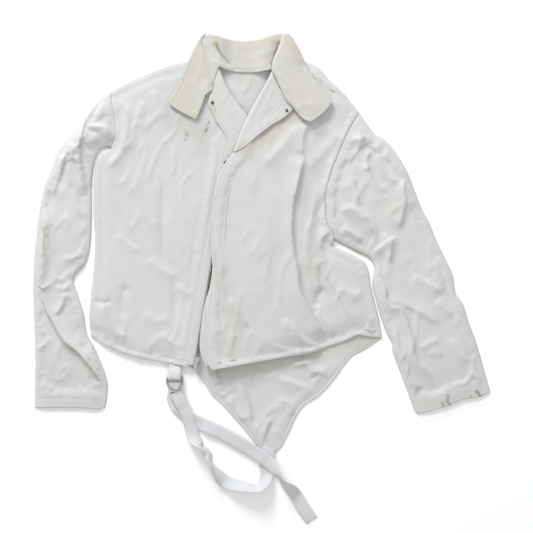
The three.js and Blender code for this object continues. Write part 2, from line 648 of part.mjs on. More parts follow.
function makeStrap() {
  bentStrip(hairpin(BIGHT_END, BIGHT_TURN, CLEARANCE, BACK_LAYER, STRAP), "strap_bight", "webbing", STRAP_WIDTH);
  const from = (height) => [0, 10].map((run) => [RING_AT[0], RING_AT[1] - RUN_START - run, height]);
  const lower = [
    ...from(CLEARANCE),
    ...[
      [-161, -240], [-150, -256], [-138, -278], [-131, -296], [-117, -316], [-105, -334], [-96, -356],
      [-82, -376], [-60, -392], [-32, -399], [-10, -398], [6, -387], [12, -368],
    ].map((p) => [...grade(p), CLEARANCE]),
    [...grade([13, -345]), FIRST_LAYER],
    [...grade([14, -322]), FIRST_LAYER],
  ];
  addNode("strap_lower_run", ribbon(lower, STRAP_WIDTH, STRAP, 44), "webbing");
  const over = FIRST_LAYER + STRAP + CLEARANCE;
  const upper = [
    ...from(BACK_LAYER),
    [...grade([-156, -240]), BACK_LAYER],
    [...grade([-138, -262]), BACK_LAYER - 0.3],
    [...grade([-110, -279]), BACK_LAYER - 0.6],
    [...grade([-70, -298]), BACK_LAYER - 0.9],
    [...grade([-32, -320]), over + 0.2],
    [...grade([9, -347]), over],
    [...grade([39, -379]), over - 1],
    [...grade([61, -411]), 1],
    [...grade([76, -436]), CLEARANCE],
    [...grade([95, -461]), CLEARANCE],
  ];
  addNode("strap_upper_run", ribbon(upper, STRAP_WIDTH, STRAP, 34), "webbing");
}

// ---------------------------------------------------------------- assembly

makeBody();
makeCollar();
makeSleeves();
makeRightZip();
makeSlider();
makePull();
makeLeftZip();
makeNeckFastening();
makeTab();
makeRings();
makeStrap();

// Groups follow what moves together; the jacket's frame sits under the middle of its box.
const moving = {
  left_front_opening: ["left_front_flap", "fly_facing", "zip_tape_left", "zip_teeth_left", "zip_pin"],
  right_sleeve_fold: ["right_sleeve_head", "right_upper_sleeve", "right_lower_sleeve", "right_cuff"],
  left_sleeve_fold: ["left_upper_sleeve", "left_lower_sleeve", "left_cuff"],
  ring_set: ["ring_upper", "ring_lower", "strap_bight"],
};
const jacket = new THREE.Group();
jacket.name = "beekeeping_jacket";
for (const [name, members] of Object.entries(moving)) {
  const group = new THREE.Group();
  group.name = name;
  for (const member of members) group.add(nodes.get(member));
  jacket.add(group);
}
for (const mesh of nodes.values()) if (!mesh.parent) jacket.add(mesh);

const box = new THREE.Box3().setFromObject(jacket, true);
const middle = box.getCenter(new THREE.Vector3());
jacket.position.set(-middle.x, -middle.y, -box.min.z);

export default jacket;
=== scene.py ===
# %% [markdown]
# # A beekeeper's cotton jacket, laid flat
# The jacket is cotton drill: two fronts on one back, sleeves folded out flat, a collar laid open, a zip
# down the front, and a tail with a webbing strap. The solid model gives the frame: where each piece
# lies and how it moves. Here every piece of cloth is made again as cloth, in the same place.

# %% Load the frame
import math
import bmesh
import bpy
import numpy as np
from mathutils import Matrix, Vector
from mathutils.bvhtree import BVHTree
from mathutils.geometry import delaunay_2d_cdt


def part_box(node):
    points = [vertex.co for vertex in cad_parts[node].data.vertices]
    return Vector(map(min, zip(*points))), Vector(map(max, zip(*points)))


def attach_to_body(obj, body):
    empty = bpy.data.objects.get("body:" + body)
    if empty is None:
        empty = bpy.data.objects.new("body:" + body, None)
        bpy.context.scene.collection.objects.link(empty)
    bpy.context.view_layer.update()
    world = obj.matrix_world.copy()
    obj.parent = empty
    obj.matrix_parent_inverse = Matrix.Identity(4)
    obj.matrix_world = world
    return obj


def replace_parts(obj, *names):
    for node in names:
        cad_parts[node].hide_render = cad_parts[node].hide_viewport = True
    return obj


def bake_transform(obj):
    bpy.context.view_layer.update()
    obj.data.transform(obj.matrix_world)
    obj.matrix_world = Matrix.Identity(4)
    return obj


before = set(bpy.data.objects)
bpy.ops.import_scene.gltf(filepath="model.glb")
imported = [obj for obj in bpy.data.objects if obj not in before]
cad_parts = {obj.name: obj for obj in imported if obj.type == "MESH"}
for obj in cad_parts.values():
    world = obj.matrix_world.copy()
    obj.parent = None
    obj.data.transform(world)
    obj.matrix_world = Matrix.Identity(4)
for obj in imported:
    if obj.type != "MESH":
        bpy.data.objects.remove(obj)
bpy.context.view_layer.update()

# %% [markdown]
# ## The draft's corner
# A pattern is drafted in millimetres from a corner of the back. The back panel's own lowest corner
# says where that draft lies in the frame, so every outline below is placed by one shift.

# %% From the draft to the frame
MM = 0.001
BACK_DRAFT_CORNER = (-329, -335)
back_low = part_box("back_panel")[0]
SHIFT = np.array([back_low.x / MM - BACK_DRAFT_CORNER[0], back_low.y / MM - BACK_DRAFT_CORNER[1], 0])


def placed(points):
    """Drafted millimetres as metres in the frame."""
    return (np.asarray(points, float) + SHIFT) * MM


print("draft shift, mm:", SHIFT.round(2))

# %% [markdown]
# ## Camera and light
# Clothes are laid on a table and seen from straight above. One large soft light from beyond the collar
# lets the folds throw gentle shade, and a pale room fills the rest, so white cloth keeps its detail.

# %% Camera, floor and lights
VIEW_WIDTH = 1.0127
VIEW_CENTRE = (0.0094, 0.0246)
CAMERA_HEIGHT = 2.5
SENSOR = 36
scene = bpy.context.scene
scene.view_settings.view_transform = "Standard"
camera = bpy.data.objects.new("camera", bpy.data.cameras.new("camera"))
camera.data.sensor_width = SENSOR
camera.data.lens = SENSOR * CAMERA_HEIGHT / VIEW_WIDTH
camera.location = (*VIEW_CENTRE, CAMERA_HEIGHT + 0.01)
scene.collection.objects.link(camera)
scene.camera = camera


def soft_light(name, size, power, place):
    lamp = bpy.data.lights.new(name, "AREA")
    lamp.shape, lamp.size, lamp.energy = "SQUARE", size, power
    light = bpy.data.objects.new(name, lamp)
    light.location = place
    light.rotation_euler = (-Vector(place)).to_track_quat("-Z", "Y").to_euler()
    scene.collection.objects.link(light)


soft_light("window", 1.3, 165, (-1.4, 3.6, 1.8))
soft_light("ceiling", 3.0, 18, (0.3, -0.8, 3.2))

# %% [markdown]
# ## Finishes
# A finish starts from what the real surface is. One helper adds a node with its settings and its links.
# Colours are written as sRGB hex, and one function turns them to the linear values a shader wants.


# %% Helpers for finishes
def paint(code):
    parts = [int(code[i:i + 2], 16) / 255 for i in (1, 3, 5)]
    return (*[c / 12.92 if c <= 0.04045 else ((c + 0.055) / 1.055) ** 2.4 for c in parts], 1)


def add(tree, kind, settings=None, links=None):
    """One node, with its settings, and its inputs linked or set."""
    made = tree.nodes.new(kind)
    for name, value in (settings or {}).items():
        setattr(made, name, value)
    for name, value in (links or {}).items():
        if isinstance(value, bpy.types.NodeSocket):
            tree.links.new(value, made.inputs[name])
        else:
            made.inputs[name].default_value = value
    return made


def blank(name):
    material = bpy.data.materials.new(name)
    material.use_nodes = True
    tree = material.node_tree
    tree.nodes.clear()
    return material, tree


def finished(tree, shader):
    add(tree, "ShaderNodeOutputMaterial", None, {"Surface": shader.outputs["BSDF"]})


floor_finish, tree = blank("paper_floor")
finished(tree, add(tree, "ShaderNodeBsdfPrincipled", None,
                   {"Base Color": paint("#fdfdfd"), "Roughness": 0.9}))
world = bpy.data.worlds.new("pale_room")
world.use_nodes = True
world.node_tree.nodes["Background"].inputs["Color"].default_value = paint("#f6f6f5")
world.node_tree.nodes["Background"].inputs["Strength"].default_value = 0.66
scene.world = world

floor_mesh = bpy.data.meshes.new("floor")
floor_mesh.from_pydata([(-4, -4, 0), (4, -4, 0), (4, 4, 0), (-4, 4, 0)], [], [(0, 1, 2, 3)])
floor_mesh.materials.append(floor_finish)
floor = bpy.data.objects.new("floor", floor_mesh)
scene.collection.objects.link(floor)

# %% [markdown]
# ### Cotton drill
# Drill is a heavy cotton twill: diagonal ribs about 0.8 mm apart that the eye reads as a matt, slightly
# fuzzy surface. Old white drill has faint cool and warm patches, tan stains and grey specks. The same tan
# and grey are also laid on as painted shade: in creases, along turned edges and under hems and the collar.
# Two numbers kept on the points say where the tan and the grey go.

# %% Cotton drill and its facing
TWILL = 0.0024  # 0.8 mm ribs would not show from this far, so they are drawn three times coarser
FIBRE = 0.0011


def cotton(name, pale, cool, warm, rib):
    material, tree = blank(name)
    where = add(tree, "ShaderNodeTexCoord").outputs["Object"]
    blotch = add(tree, "ShaderNodeTexNoise", None, {"Vector": where, "Scale": 7.0, "Detail": 3.0})
    base = add(tree, "ShaderNodeMix", {"data_type": "RGBA"},
               {0: blotch.outputs["Fac"], 6: paint(pale), 7: paint(cool)})
    # The tan and grey masks carry real stains and marks, and also painted shade in creases and under edges.
    soil = add(tree, "ShaderNodeAttribute", {"attribute_name": "soil"}).outputs["Fac"]
    grey = add(tree, "ShaderNodeAttribute", {"attribute_name": "grey"}).outputs["Fac"]
    mottle = add(tree, "ShaderNodeTexNoise", None, {"Vector": where, "Scale": 60.0, "Detail": 4.0})
    uneven = add(tree, "ShaderNodeMapRange", None,
                 {"Value": mottle.outputs["Fac"], "From Min": 0.3, "From Max": 0.7, "To Min": 0.6,
                  "To Max": 1.1})
    tan = add(tree, "ShaderNodeMath", {"operation": "MULTIPLY", "use_clamp": True},
              {0: soil, 1: uneven.outputs["Result"]})
    tan_laid = add(tree, "ShaderNodeMix", {"data_type": "RGBA"},
                  {0: tan.outputs[0], 6: base.outputs[2], 7: paint(warm)})
    marked = add(tree, "ShaderNodeMix", {"data_type": "RGBA"},
                 {0: grey, 6: tan_laid.outputs[2], 7: paint("#5b5a5a")})
    ribs = add(tree, "ShaderNodeTexWave", {"bands_direction": "DIAGONAL"},
               {"Vector": where, "Scale": 0.628 / rib, "Distortion": 1.2, "Detail": 1.0, "Detail Scale": 2.0})
    fibre = add(tree, "ShaderNodeTexNoise", None, {"Vector": where, "Scale": 1 / FIBRE, "Detail": 2.0})
    height = add(tree, "ShaderNodeMix", {"data_type": "FLOAT"},
                 {0: 0.5, 2: ribs.outputs["Fac"], 3: fibre.outputs["Fac"]})
    bump = add(tree, "ShaderNodeBump", None,
               {"Height": height.outputs[0], "Strength": 0.25, "Distance": 0.0004})
    finished(tree, add(tree, "ShaderNodeBsdfPrincipled", None,
                       {"Base Color": marked.outputs[2], "Roughness": 0.92, "Sheen Weight": 0.12,
                        "Sheen Roughness": 0.5, "Specular IOR Level": 0.25,
                        "Normal": bump.outputs["Normal"]}))
    return material


drill = cotton("cotton_drill", "#cfd0ce", "#c6c9ca", "#b5a58c", TWILL)
facing = cotton("cotton_facing", "#cfcfcc", "#c5c7c6", "#b3a184", TWILL * 0.8)
collar_drill = cotton("collar_drill", "#cbcac5", "#c6c6c2", "#bda57c", TWILL)

# %% [markdown]
# ### Tapes, thread and metal
# Webbing and zip tape are narrow weaves with ribs across their length. Each tape keeps how far along and
# across it a point is, so the weave follows its turns. Nickel plate is bright but a little clouded;
# the neck hook is blackened steel.


# %% Woven tapes, thread and metals
def narrow_weave(name, pale, dark, rib, wale):
    material, tree = blank(name)
    run = add(tree, "ShaderNodeAttribute", {"attribute_name": "run"}).outputs["Fac"]
    side = add(tree, "ShaderNodeAttribute", {"attribute_name": "side"}).outputs["Fac"]
    lay = add(tree, "ShaderNodeCombineXYZ", None, {"X": run, "Y": side})
    across = add(tree, "ShaderNodeTexWave", {"bands_direction": "X"},
                 {"Vector": lay.outputs[0], "Scale": 0.314 / rib, "Distortion": 0.6})
    length = add(tree, "ShaderNodeTexWave", {"bands_direction": "Y"},
                 {"Vector": lay.outputs[0], "Scale": 0.314 / wale, "Distortion": 0.4})
    weave = add(tree, "ShaderNodeMath", {"operation": "MULTIPLY"},
                {0: across.outputs["Fac"], 1: length.outputs["Fac"]})
    where = add(tree, "ShaderNodeTexCoord").outputs["Object"]
    worn = add(tree, "ShaderNodeTexNoise", None, {"Vector": where, "Scale": 35.0, "Detail": 4.0})
    mix = add(tree, "ShaderNodeMath", {"operation": "MULTIPLY"},
              {0: weave.outputs[0], 1: worn.outputs["Fac"]})
    colour = add(tree, "ShaderNodeMix", {"data_type": "RGBA"},
                 {0: mix.outputs[0], 6: paint(dark), 7: paint(pale)})
    bump = add(tree, "ShaderNodeBump", None,
               {"Height": weave.outputs[0], "Strength": 0.5, "Distance": 0.0004})
    finished(tree, add(tree, "ShaderNodeBsdfPrincipled", None,
                       {"Base Color": colour.outputs[2], "Roughness": 0.8, "Sheen Weight": 0.1,
                        "Normal": bump.outputs["Normal"]}))
    return material


def metal(name, bright, clouded, low, high, grain):
    material, tree = blank(name)
    where = add(tree, "ShaderNodeTexCoord").outputs["Object"]
    cloud = add(tree, "ShaderNodeTexNoise", None, {"Vector": where, "Scale": 180.0, "Detail": 5.0})
    colour = add(tree, "ShaderNodeMix", {"data_type": "RGBA"},
                 {0: cloud.outputs["Fac"], 6: paint(bright), 7: paint(clouded)})
    rough = add(tree, "ShaderNodeMapRange", None,
                {"Value": cloud.outputs["Fac"], "To Min": low, "To Max": high})
    fine = add(tree, "ShaderNodeTexNoise", None, {"Vector": where, "Scale": grain, "Detail": 2.0})
    bump = add(tree, "ShaderNodeBump", None,
               {"Height": fine.outputs["Fac"], "Strength": 0.12, "Distance": 0.0001})
    finished(tree, add(tree, "ShaderNodeBsdfPrincipled", None,
                       {"Base Color": colour.outputs[2], "Metallic": 1.0,
                        "Roughness": rough.outputs["Result"],
                        "Normal": bump.outputs["Normal"]}))
    return material


webbing = narrow_weave("cotton_webbing", "#e2e3e5", "#c9cbce", 0.0022, 0.0028)
zip_weave = narrow_weave("zip_tape_weave", "#dedfde", "#cacccb", 0.0018, 0.0018)
thread = narrow_weave("sewing_thread", "#dcdcd8", "#bdbdb8", 0.0010, 0.0010)
nickel = metal("nickel_plate", "#c9cbcc", "#8c8e90", 0.2, 0.4, 1500.0)
blacked = metal("blackened_steel", "#3c3b3d", "#232325", 0.4, 0.6, 1800.0)
print("finishes:", [m.name for m in bpy.data.materials])

# %% [markdown]
# ## Cutting cloth
# A piece of cloth starts as an outline drawn through drafted points. The outline is filled with
# scattered points, denser along its edge, its stitch lines and its creases, and triangulated. Blender's
# Delaunay tool does that well, and the even triangles fold in any direction without showing a grid.

# %% Drawing lines
STEP = 3.0


def through(points, step=STEP):
    """A smooth line through the points, in steps of about `step` mm. Works in the plane and in space."""
    p = np.array(points, float)
    p = np.vstack([2 * p[0] - p[1], p, 2 * p[-1] - p[-2]])
    line = []
    for before, a, b, after in zip(p[:-3], p[1:-2], p[2:-1], p[3:]):
        left, mid, right = (max(np.linalg.norm(d), 1e-6) ** 0.5 for d in (a - before, b - a, after - b))
        leave = b - a + mid * ((a - before) / left - (b - before) / (left + mid))
        arrive = b - a + mid * ((after - b) / right - (after - a) / (mid + right))
        t = np.arange(0, 1, 1 / max(1, round(np.linalg.norm(b - a) / step)))[:, None]
        line.append((2 * (a - b) + leave + arrive) * t**3 + (3 * (b - a) - 2 * leave - arrive) * t**2
                    + leave * t + a)
    return np.vstack([*line, p[-2:-1]])


def joined(*lines):
    """One outline from lines drawn one after another, without doubled points."""
    ring = np.vstack([through(line) for line in lines])
    keep = [0]
    for i in range(1, len(ring)):
        if np.linalg.norm(ring[i] - ring[keep[-1]]) > 1 and np.linalg.norm(ring[i] - ring[0]) > 1:
            keep.append(i)
    ring = ring[keep]
    turn = np.roll(ring, -1, 0)
    return ring if (ring[:, 0] * turn[:, 1] - turn[:, 0] * ring[:, 1]).sum() > 0 else ring[::-1]


def area_of(ring):
    turn = np.roll(ring, -1, 0)
    return abs((ring[:, 0] * turn[:, 1] - turn[:, 0] * ring[:, 1]).sum()) / 2 * MM * MM


def near(points, line):
    """How far each point is from a line, which side it is on (+1 is the left), and how far along (0 to 1)."""
    best, side, run, done = np.full(len(points), 1e9), np.ones(len(points)), np.zeros(len(points)), 0.0
    for a, b in zip(line[:-1], line[1:]):
        ab, ap = b - a, points - a
        length = np.hypot(*ab)
        t = np.clip(ap @ ab / length**2, 0, 1)
        far = np.hypot(*(ap - t[:, None] * ab).T)
        closer = far < best
        best = np.where(closer, far, best)
        side = np.where(closer, np.sign(ab[0] * ap[:, 1] - ab[1] * ap[:, 0] + 1e-9), side)
        run = np.where(closer, done + t * length, run)
        done += length
    return best, side, run / done


def inside(points, ring):
    x, y = points.T
    odd = np.zeros(len(points), bool)
    for (ax, ay), (bx, by) in zip(ring, np.roll(ring, -1, 0)):
        if ay != by:
            odd ^= ((ay > y) != (by > y)) & (x < ax + (bx - ax) * (y - ay) / (by - ay))
    return odd


def smooth(t):
    t = np.clip(t, 0, 1)
    return t * t * (3 - 2 * t)


# %% Filling an outline
GRID = 4.2
EDGE_ROWS = (0.7, 2.0, 4.2)


def beside(line, distance, closed=False):
    """The line moved sideways, to its left for a positive distance."""
    if closed:
        ahead = np.roll(line, -1, 0) - np.roll(line, 1, 0)
    else:
        ahead = np.gradient(line, axis=0)
    ahead /= np.linalg.norm(ahead, axis=1)[:, None]
    return line + distance * np.stack([-ahead[:, 1], ahead[:, 0]], 1)


def cut(ring, lines=(), grid=GRID, seed=3):
    """Flat cloth: its points, its triangles, and how many of the points are its edge, in order."""
    rng = np.random.default_rng(seed)
    closed = np.vstack([ring, ring[:1]])
    low, high = ring.min(0), ring.max(0)
    across, down = np.arange(low[0], high[0], grid), np.arange(low[1], high[1], grid * 0.866)
    x, y = np.meshgrid(across, down)
    x[1::2] += grid / 2
    filling = np.stack([x.ravel(), y.ravel()], 1)
    filling += rng.uniform(-0.22, 0.22, filling.shape) * grid
    rows = [(beside(ring, inset, True), inset * 0.85, 1.3) for inset in EDGE_ROWS]
    rows += [(beside(line, offset), 1.6, 1.1) for line, offsets in lines for offset in offsets]
    rows += [(filling, grid * 0.55, grid * 0.6)]
    taken, cells = [tuple(p) for p in ring], {}
    for i, p in enumerate(taken):
        cells.setdefault((int(p[0] // 3), int(p[1] // 3)), []).append(i)
    for points, clear, gap in rows:
        points = points[inside(points, ring)]
        points = points[near(points, closed)[0] > clear]
        for p in points:
            cx, cy = int(p[0] // 3), int(p[1] // 3)
            close = (taken[k] for i in (-1, 0, 1) for j in (-1, 0, 1) for k in cells.get((cx + i, cy + j),
                                                                                         ()))
            if all((q[0] - p[0]) ** 2 + (q[1] - p[1]) ** 2 > gap * gap for q in close):
                cells.setdefault((cx, cy), []).append(len(taken))
                taken.append(tuple(p))
    n = len(ring)
    edges = [(i, (i + 1) % n) for i in range(n)]
    made = delaunay_2d_cdt([Vector(p) for p in taken], edges, [], 1, 1e-5)
    points = np.array([tuple(v) for v in made[0]])
    return points, np.array([list(f) for f in made[2]]), n


# %% [markdown]
# ## The lie of the cloth
# Height is drawn as a drawing would be shaded: edges that turn under like a pillow's, creases that are
# steep on one side and soft on the other, a shallow dip along each row of stitches, and slow rumples.
# Drill is stiff, so its rumples are long and its creases are sharp.


# %% Height tools
def pillow(distance, radius):
    """0 at an edge that turns under, 1 inside it, round in between."""
    t = 1 - np.clip(distance / radius, 0, 1)
    return np.sqrt(np.maximum(1 - t * t, 0))


def edge_rise(distance, width):
    """Thin cloth at a turned edge: up at once by its own thickness, then slowly to its full height."""
    return 0.26 * pillow(distance, 3) + 0.74 * smooth(distance / width) ** 0.75


def crease_shade_lines(points, creases, least=1.6):
    """Painted shade: grey on the steep side of the sharper creases, where shade falls."""
    total = np.zeros(len(points))
    for line, height, steep, soft, *rest in creases:
        if height >= least:
            far, side, run = near(points, through(line))
            behind = np.where((side > 0) == (steep < soft), np.exp(-(((far - 0.8) / 2.0) ** 2)), 0)
            total = np.maximum(total, 0.05 * height * behind * smooth(run / 0.2) * smooth((1 - run) / 0.2))
    return np.minimum(total, 0.16)


def crease(points, line, height, steep, soft, ends=0.2):
    """A crease that falls off quickly on the line's left and slowly on its right."""
    far, side, run = near(points, line)
    width = np.where(side > 0, steep, soft)
    return height * smooth(run / ends) * smooth((1 - run) / ends) * np.exp(-((far / width) ** 1.6))


def dip(points, line, depth=0.35, width=1.3):
    return -depth * np.exp(-((near(points, line)[0] / width) ** 2))


def rumple(points, size, seed, angle=0.0, stretch=1.0):
    """Smooth noise from -1 to 1 with features about `size` mm, longer along the angle (degrees)."""
    a = math.radians(angle)
    along = points @ np.array([math.cos(a), math.sin(a)]) / (size * stretch)
    across = points @ np.array([-math.sin(a), math.cos(a)]) / size
    q = np.stack([along, across], 1) + 40
    cell = np.floor(q).astype(int)
    f = q - cell
    u = f**3 * (f * (f * 6 - 15) + 10)
    slopes = np.random.default_rng(seed).normal(size=(64, 64, 2))
    slopes /= np.linalg.norm(slopes, axis=2)[..., None]

    def corner(i, j):
        return (slopes[(cell[:, 0] + i) % 64, (cell[:, 1] + j) % 64] * (f - [i, j])).sum(1)

    low = corner(0, 0) * (1 - u[:, 0]) + corner(1, 0) * u[:, 0]
    high = corner(0, 1) * (1 - u[:, 0]) + corner(1, 1) * u[:, 0]
    return 1.5 * (low * (1 - u[:, 1]) + high * u[:, 1])


def worn_cloth(points, seed, angle=80.0, amount=1.0):
    """Long shallow rumples with a few sharper ridges in them."""
    bend = points + 9 * np.stack([rumple(points, 55, seed + 1), rumple(points, 55, seed + 2)], 1)
    slow = rumple(bend, 62, seed + 3, angle, 2.2)
    ridge = (1 - np.clip(np.abs(rumple(bend, 38, seed + 4, angle, 2.6)) * 3.2, 0, 1)) ** 2
    few = smooth((rumple(points, 80, seed + 5) + 0.15) * 2.2)
    return amount * (1.0 * slow + 1.3 * ridge * few + 0.22 * rumple(points, 15, seed + 6, angle, 1.5))


# %% [markdown]
# ### Letting the cloth settle
# A drawn shape is too clean. Each large piece is handed to Blender's Cloth, cut a little too large and
# held at its seams, so that the spare cloth has to buckle. How far a point may move is capped, which
# keeps each layer clear of the next, and the result is kept in the mesh with no simulation left on it.

# %% Settling
FRAMES = 14


def settled(points, tris, hold, spare, cap, stiff=6.0):
    """The points (mm) after the spare cloth has buckled. hold is 1 where the cloth is sewn or pressed."""
    if spare == 0:
        return points
    mesh = bpy.data.meshes.new("settling")
    mesh.from_pydata((points * MM).tolist(), [], tris.tolist())
    cloth = bpy.data.objects.new("settling", mesh)
    scene.collection.objects.link(cloth)
    group = cloth.vertex_groups.new(name="held")
    for level in np.unique(np.round(hold, 1)):
        if level > 0:
            group.add(np.nonzero(np.round(hold, 1) == level)[0].tolist(), float(level), "REPLACE")
    sim = cloth.modifiers.new("cloth", "CLOTH")
    sim.settings.quality = 6
    sim.settings.mass = 0.25
    sim.settings.tension_stiffness = sim.settings.compression_stiffness = 25
    sim.settings.shear_stiffness = 12
    sim.settings.bending_stiffness = stiff
    sim.settings.air_damping = 2
    sim.settings.vertex_group_mass = "held"
    sim.settings.pin_stiffness = 1.0
    sim.settings.shrink_min = -spare
    sim.settings.effector_weights.gravity = 0.3
    sim.collision_settings.use_collision = False
    sim.point_cache.frame_start, sim.point_cache.frame_end = 1, FRAMES
    for frame_number in range(1, FRAMES + 1):
        scene.frame_set(frame_number)
    shown = cloth.evaluated_get(bpy.context.evaluated_depsgraph_get()).to_mesh()
    moved = np.empty(len(points) * 3, np.float32)
    shown.vertices.foreach_get("co", moved)
    moved = moved.reshape(-1, 3).astype(float) / MM
    bpy.data.objects.remove(cloth)
    scene.frame_set(1)
    step = moved - points
    step[~np.isfinite(step)] = 0
    far = np.linalg.norm(step, axis=1)
    print("settled:", len(points), "points, moved up to", round(float(far.max()), 1), "mm, mostly",
          round(float(np.median(far)), 2), "mm")
    return points + step * np.minimum(1, cap / np.maximum(far, 1e-9))[:, None] * (1 - hold[:, None])


# %% Making a mesh
WALL = 0.9


def new_piece(name, points, faces, finish, **marks):
    """A smooth-shaded piece from drafted points, with numbers kept on them for its finish."""
    mesh = bpy.data.meshes.new(name)
    mesh.from_pydata(placed(points).tolist(), [], [list(map(int, f)) for f in faces])
    mesh.polygons.foreach_set("use_smooth", [True] * len(mesh.polygons))
    mesh.materials.append(finish)
    for key, values in marks.items():
        mesh.attributes.new(key, "FLOAT", "POINT").data.foreach_set("value", np.asarray(values, np.float32))
    made = bpy.data.objects.new(name, mesh)
    scene.collection.objects.link(made)
    return made


def ply(name, points, tris, edge, thick, finish, **marks):
    """A closed sheet: its upper face is given, its lower face is `thick` under it, with a rim between."""
    n = len(points)
    rim = []
    for i in range(edge):
        j = (i + 1) % edge
        rim += [(i, i + n, j + n), (i, j + n, j)]
    faces = [*tris.tolist(), *(tris[:, ::-1] + n).tolist(), *rim]
    twice = {key: np.concatenate([v, v]) for key, v in marks.items()}
    return new_piece(name, np.vstack([points, points - [0, 0, thick]]), faces, finish, **twice)


def surface_of(points, tris):
    return BVHTree.FromPolygons([tuple(p) for p in points], tris.tolist())


def onto(line, surface, lift=0.0, fallback=5.0):
    """A flat line laid on a surface from above."""
    out = []
    for x, y in line:
        hit = surface.ray_cast(Vector((x, y, 90)), Vector((0, 0, -1)))[0]
        out.append((x, y, (hit.z if hit else (out[-1][2] - lift if out else fallback)) + lift))
    return np.array(out)

# %% [markdown]
# ## The back
# The back is one panel. Its lower edge runs down into a pointed tail that carries the crotch strap, with a
# narrow rolled hem. Under the fronts it lies flat; the tail lies free and is crumpled.

# %% Seam lines shared by several pieces
RIGHT_SHOULDER = [(-118, 413), (-150, 412), (-184, 404), (-220, 390), (-253, 375), (-283, 361)]
RIGHT_ARMHOLE = [(-283, 361), (-287, 339), (-281, 311), (-279, 284), (-281, 263), (-289, 248)]
RIGHT_SIDE = [(-289, 248), (-304, 242), (-314, 227), (-319, 206), (-321, 176), (-321, 115), (-318, 77),
              (-321, 14), (-327, -41), (-329, -83), (-325, -111)]
RIGHT_HEM = [(-325, -111), (-289, -132), (-251, -146), (-213, -155), (-175, -162), (-136, -169)]
RIGHT_ZIP_LINE = [(-136, -169), (-67, 248)]
RIGHT_ROLL = [(-67, 248), (-49, 273), (-35, 307), (-47, 332), (-61, 352), (-74, 382), (-84, 408)]
LEFT_SHOULDER = [(185, 316), (171, 333), (158, 351), (142, 367), (129, 378), (108, 402), (78, 415), (53, 413)]
LEFT_ARMHOLE = [(133, 63), (137, 82), (124, 105), (121, 142), (124, 176), (132, 207), (147, 242), (165, 283),
                (185, 316)]
LEFT_UNDERARM = [(133, 62), (152, 54), (175, 44), (196, 31)]
LEFT_BODY_EDGE = [(196, 31), (203, 14), (206, -8), (213.5, -41), (223, -79), (228, -113)]
LEFT_SIDE_SEAM = [(122, 44), (124, 31), (127, -9), (154, -56), (181, -104)]
LEFT_HEM = [(-95, -174), (-51, -166), (0, -157), (53, -148), (91, -142), (125, -130), (158, -119),
            (183, -107)]
WRAP_HEM = [(183, -107), (205, -111), (228, -113)]
FLAP_EDGE = [(-95, -174), (-106, -157), (-108, -132), (-106, -98), (-104, -50), (-99, -18), (-94, 20),
             (-96, 60), (-96, 92), (-93, 140), (-87, 178), (-74, 212), (-55, 238)]
LEFT_ROLL = [(-55, 238), (-44, 269), (-34, 294), (-18, 326), (7, 370), (19, 396)]
TAIL_LEFT = [(-134, -170), (-108, -202), (-95, -223), (-78, -238), (-42, -278), (-17, -309), (2, -335)]
TAIL_RIGHT = [(23, -335), (36, -322), (49, -297), (66, -261), (80, -242), (106, -225), (129, -202),
              (156, -166), (171, -149), (198, -134), (228, -113)]
BACK_NECK = [(53, 413), (19, 398), (-11, 395), (-42, 395), (-84, 408), (-118, 413)]

# %% The back panel
tail_left, tail_right = through(TAIL_LEFT), through(TAIL_RIGHT)
tail_hems = [beside(tail_left, 6), beside(tail_right, 6)]
tail_edge = through(TAIL_LEFT + TAIL_RIGHT)
TAIL_CREASES = [
    ([(-103, -142), (-87, -183), (-80, -204)], 3.0, 3, 11),
    ([(-46, -196), (-27, -231), (-19, -278)], 3.2, 3, 12),
    ([(-13, -193), (0, -231), (-8, -265)], -2.6, 7, 7),
    ([(28, -187), (63, -200), (97, -212)], 3.0, 3, 12),
    ([(72, -150), (91, -166), (106, -182)], 2.4, 3, 10),
    ([(18, -265), (8, -288), (0, -318)], 3.4, 3, 10),
    ([(129, -138), (91, -159), (50, -166)], 2.6, 4, 14),
    ([(28, -226), (52, -240), (60, -262)], 2.4, 3, 9),
    ([(-62, -226), (-52, -250), (-30, -272)], 2.0, 3, 9),
    ([(-20, -168), (6, -186), (40, -178)], 2.0, 4, 12),
]
V_CREASES = [
    ([(-60, 372), (-44, 350), (-36, 322)], 1.6, 3, 9),
    ([(-22, 386), (-26, 366), (-40, 352)], 1.3, 3, 8),
    ([(-38, 300), (-46, 274), (-52, 256)], 1.2, 3, 8),
]
back_ring = joined(RIGHT_SHOULDER, RIGHT_ARMHOLE, RIGHT_SIDE, RIGHT_HEM, TAIL_LEFT, TAIL_RIGHT,
                   LEFT_BODY_EDGE[::-1], LEFT_UNDERARM[::-1], LEFT_ARMHOLE, LEFT_SHOULDER, BACK_NECK)
back_lines = [(through(line), (-3, 0, 3)) for line, *_ in TAIL_CREASES + V_CREASES]
back_flat, back_tris, back_edge = cut(back_ring, back_lines + [(hem, (-1.3, 0, 1.3)) for hem in tail_hems])
from_tail_edge = near(back_flat, tail_edge)[0]
free = smooth((-128 - back_flat[:, 1] - 0.14 * back_flat[:, 0]) / 40)
free *= 0.12 + 0.88 * smooth((np.hypot(back_flat[:, 0] - 12, back_flat[:, 1] + 338) - 14) / 60)
BACK_LIES = 1.35
height = BACK_LIES + 2.2 * free * (1 + worn_cloth(back_flat, 11, 60, 0.9)) * smooth(from_tail_edge / 26)
for line, *shape in TAIL_CREASES:
    height += 1.3 * crease(back_flat, through(line), *shape) * free
for line, *shape in V_CREASES:
    height += crease(back_flat, through(line), *shape)
for hem in tail_hems:
    height += dip(back_flat, hem, 0.5) * free
height += 0.6 * free * smooth(1 - from_tail_edge / 6)
back_points = np.column_stack([back_flat, np.clip(height, 1.2, 11)])
held = 1 - np.maximum(free * smooth((from_tail_edge - 6) / 20), 0)
back_points = settled(back_points, back_tris, held, 0.03, 2.6)
back_points[:, 2] = np.clip(back_points[:, 2], 1.2, 12)


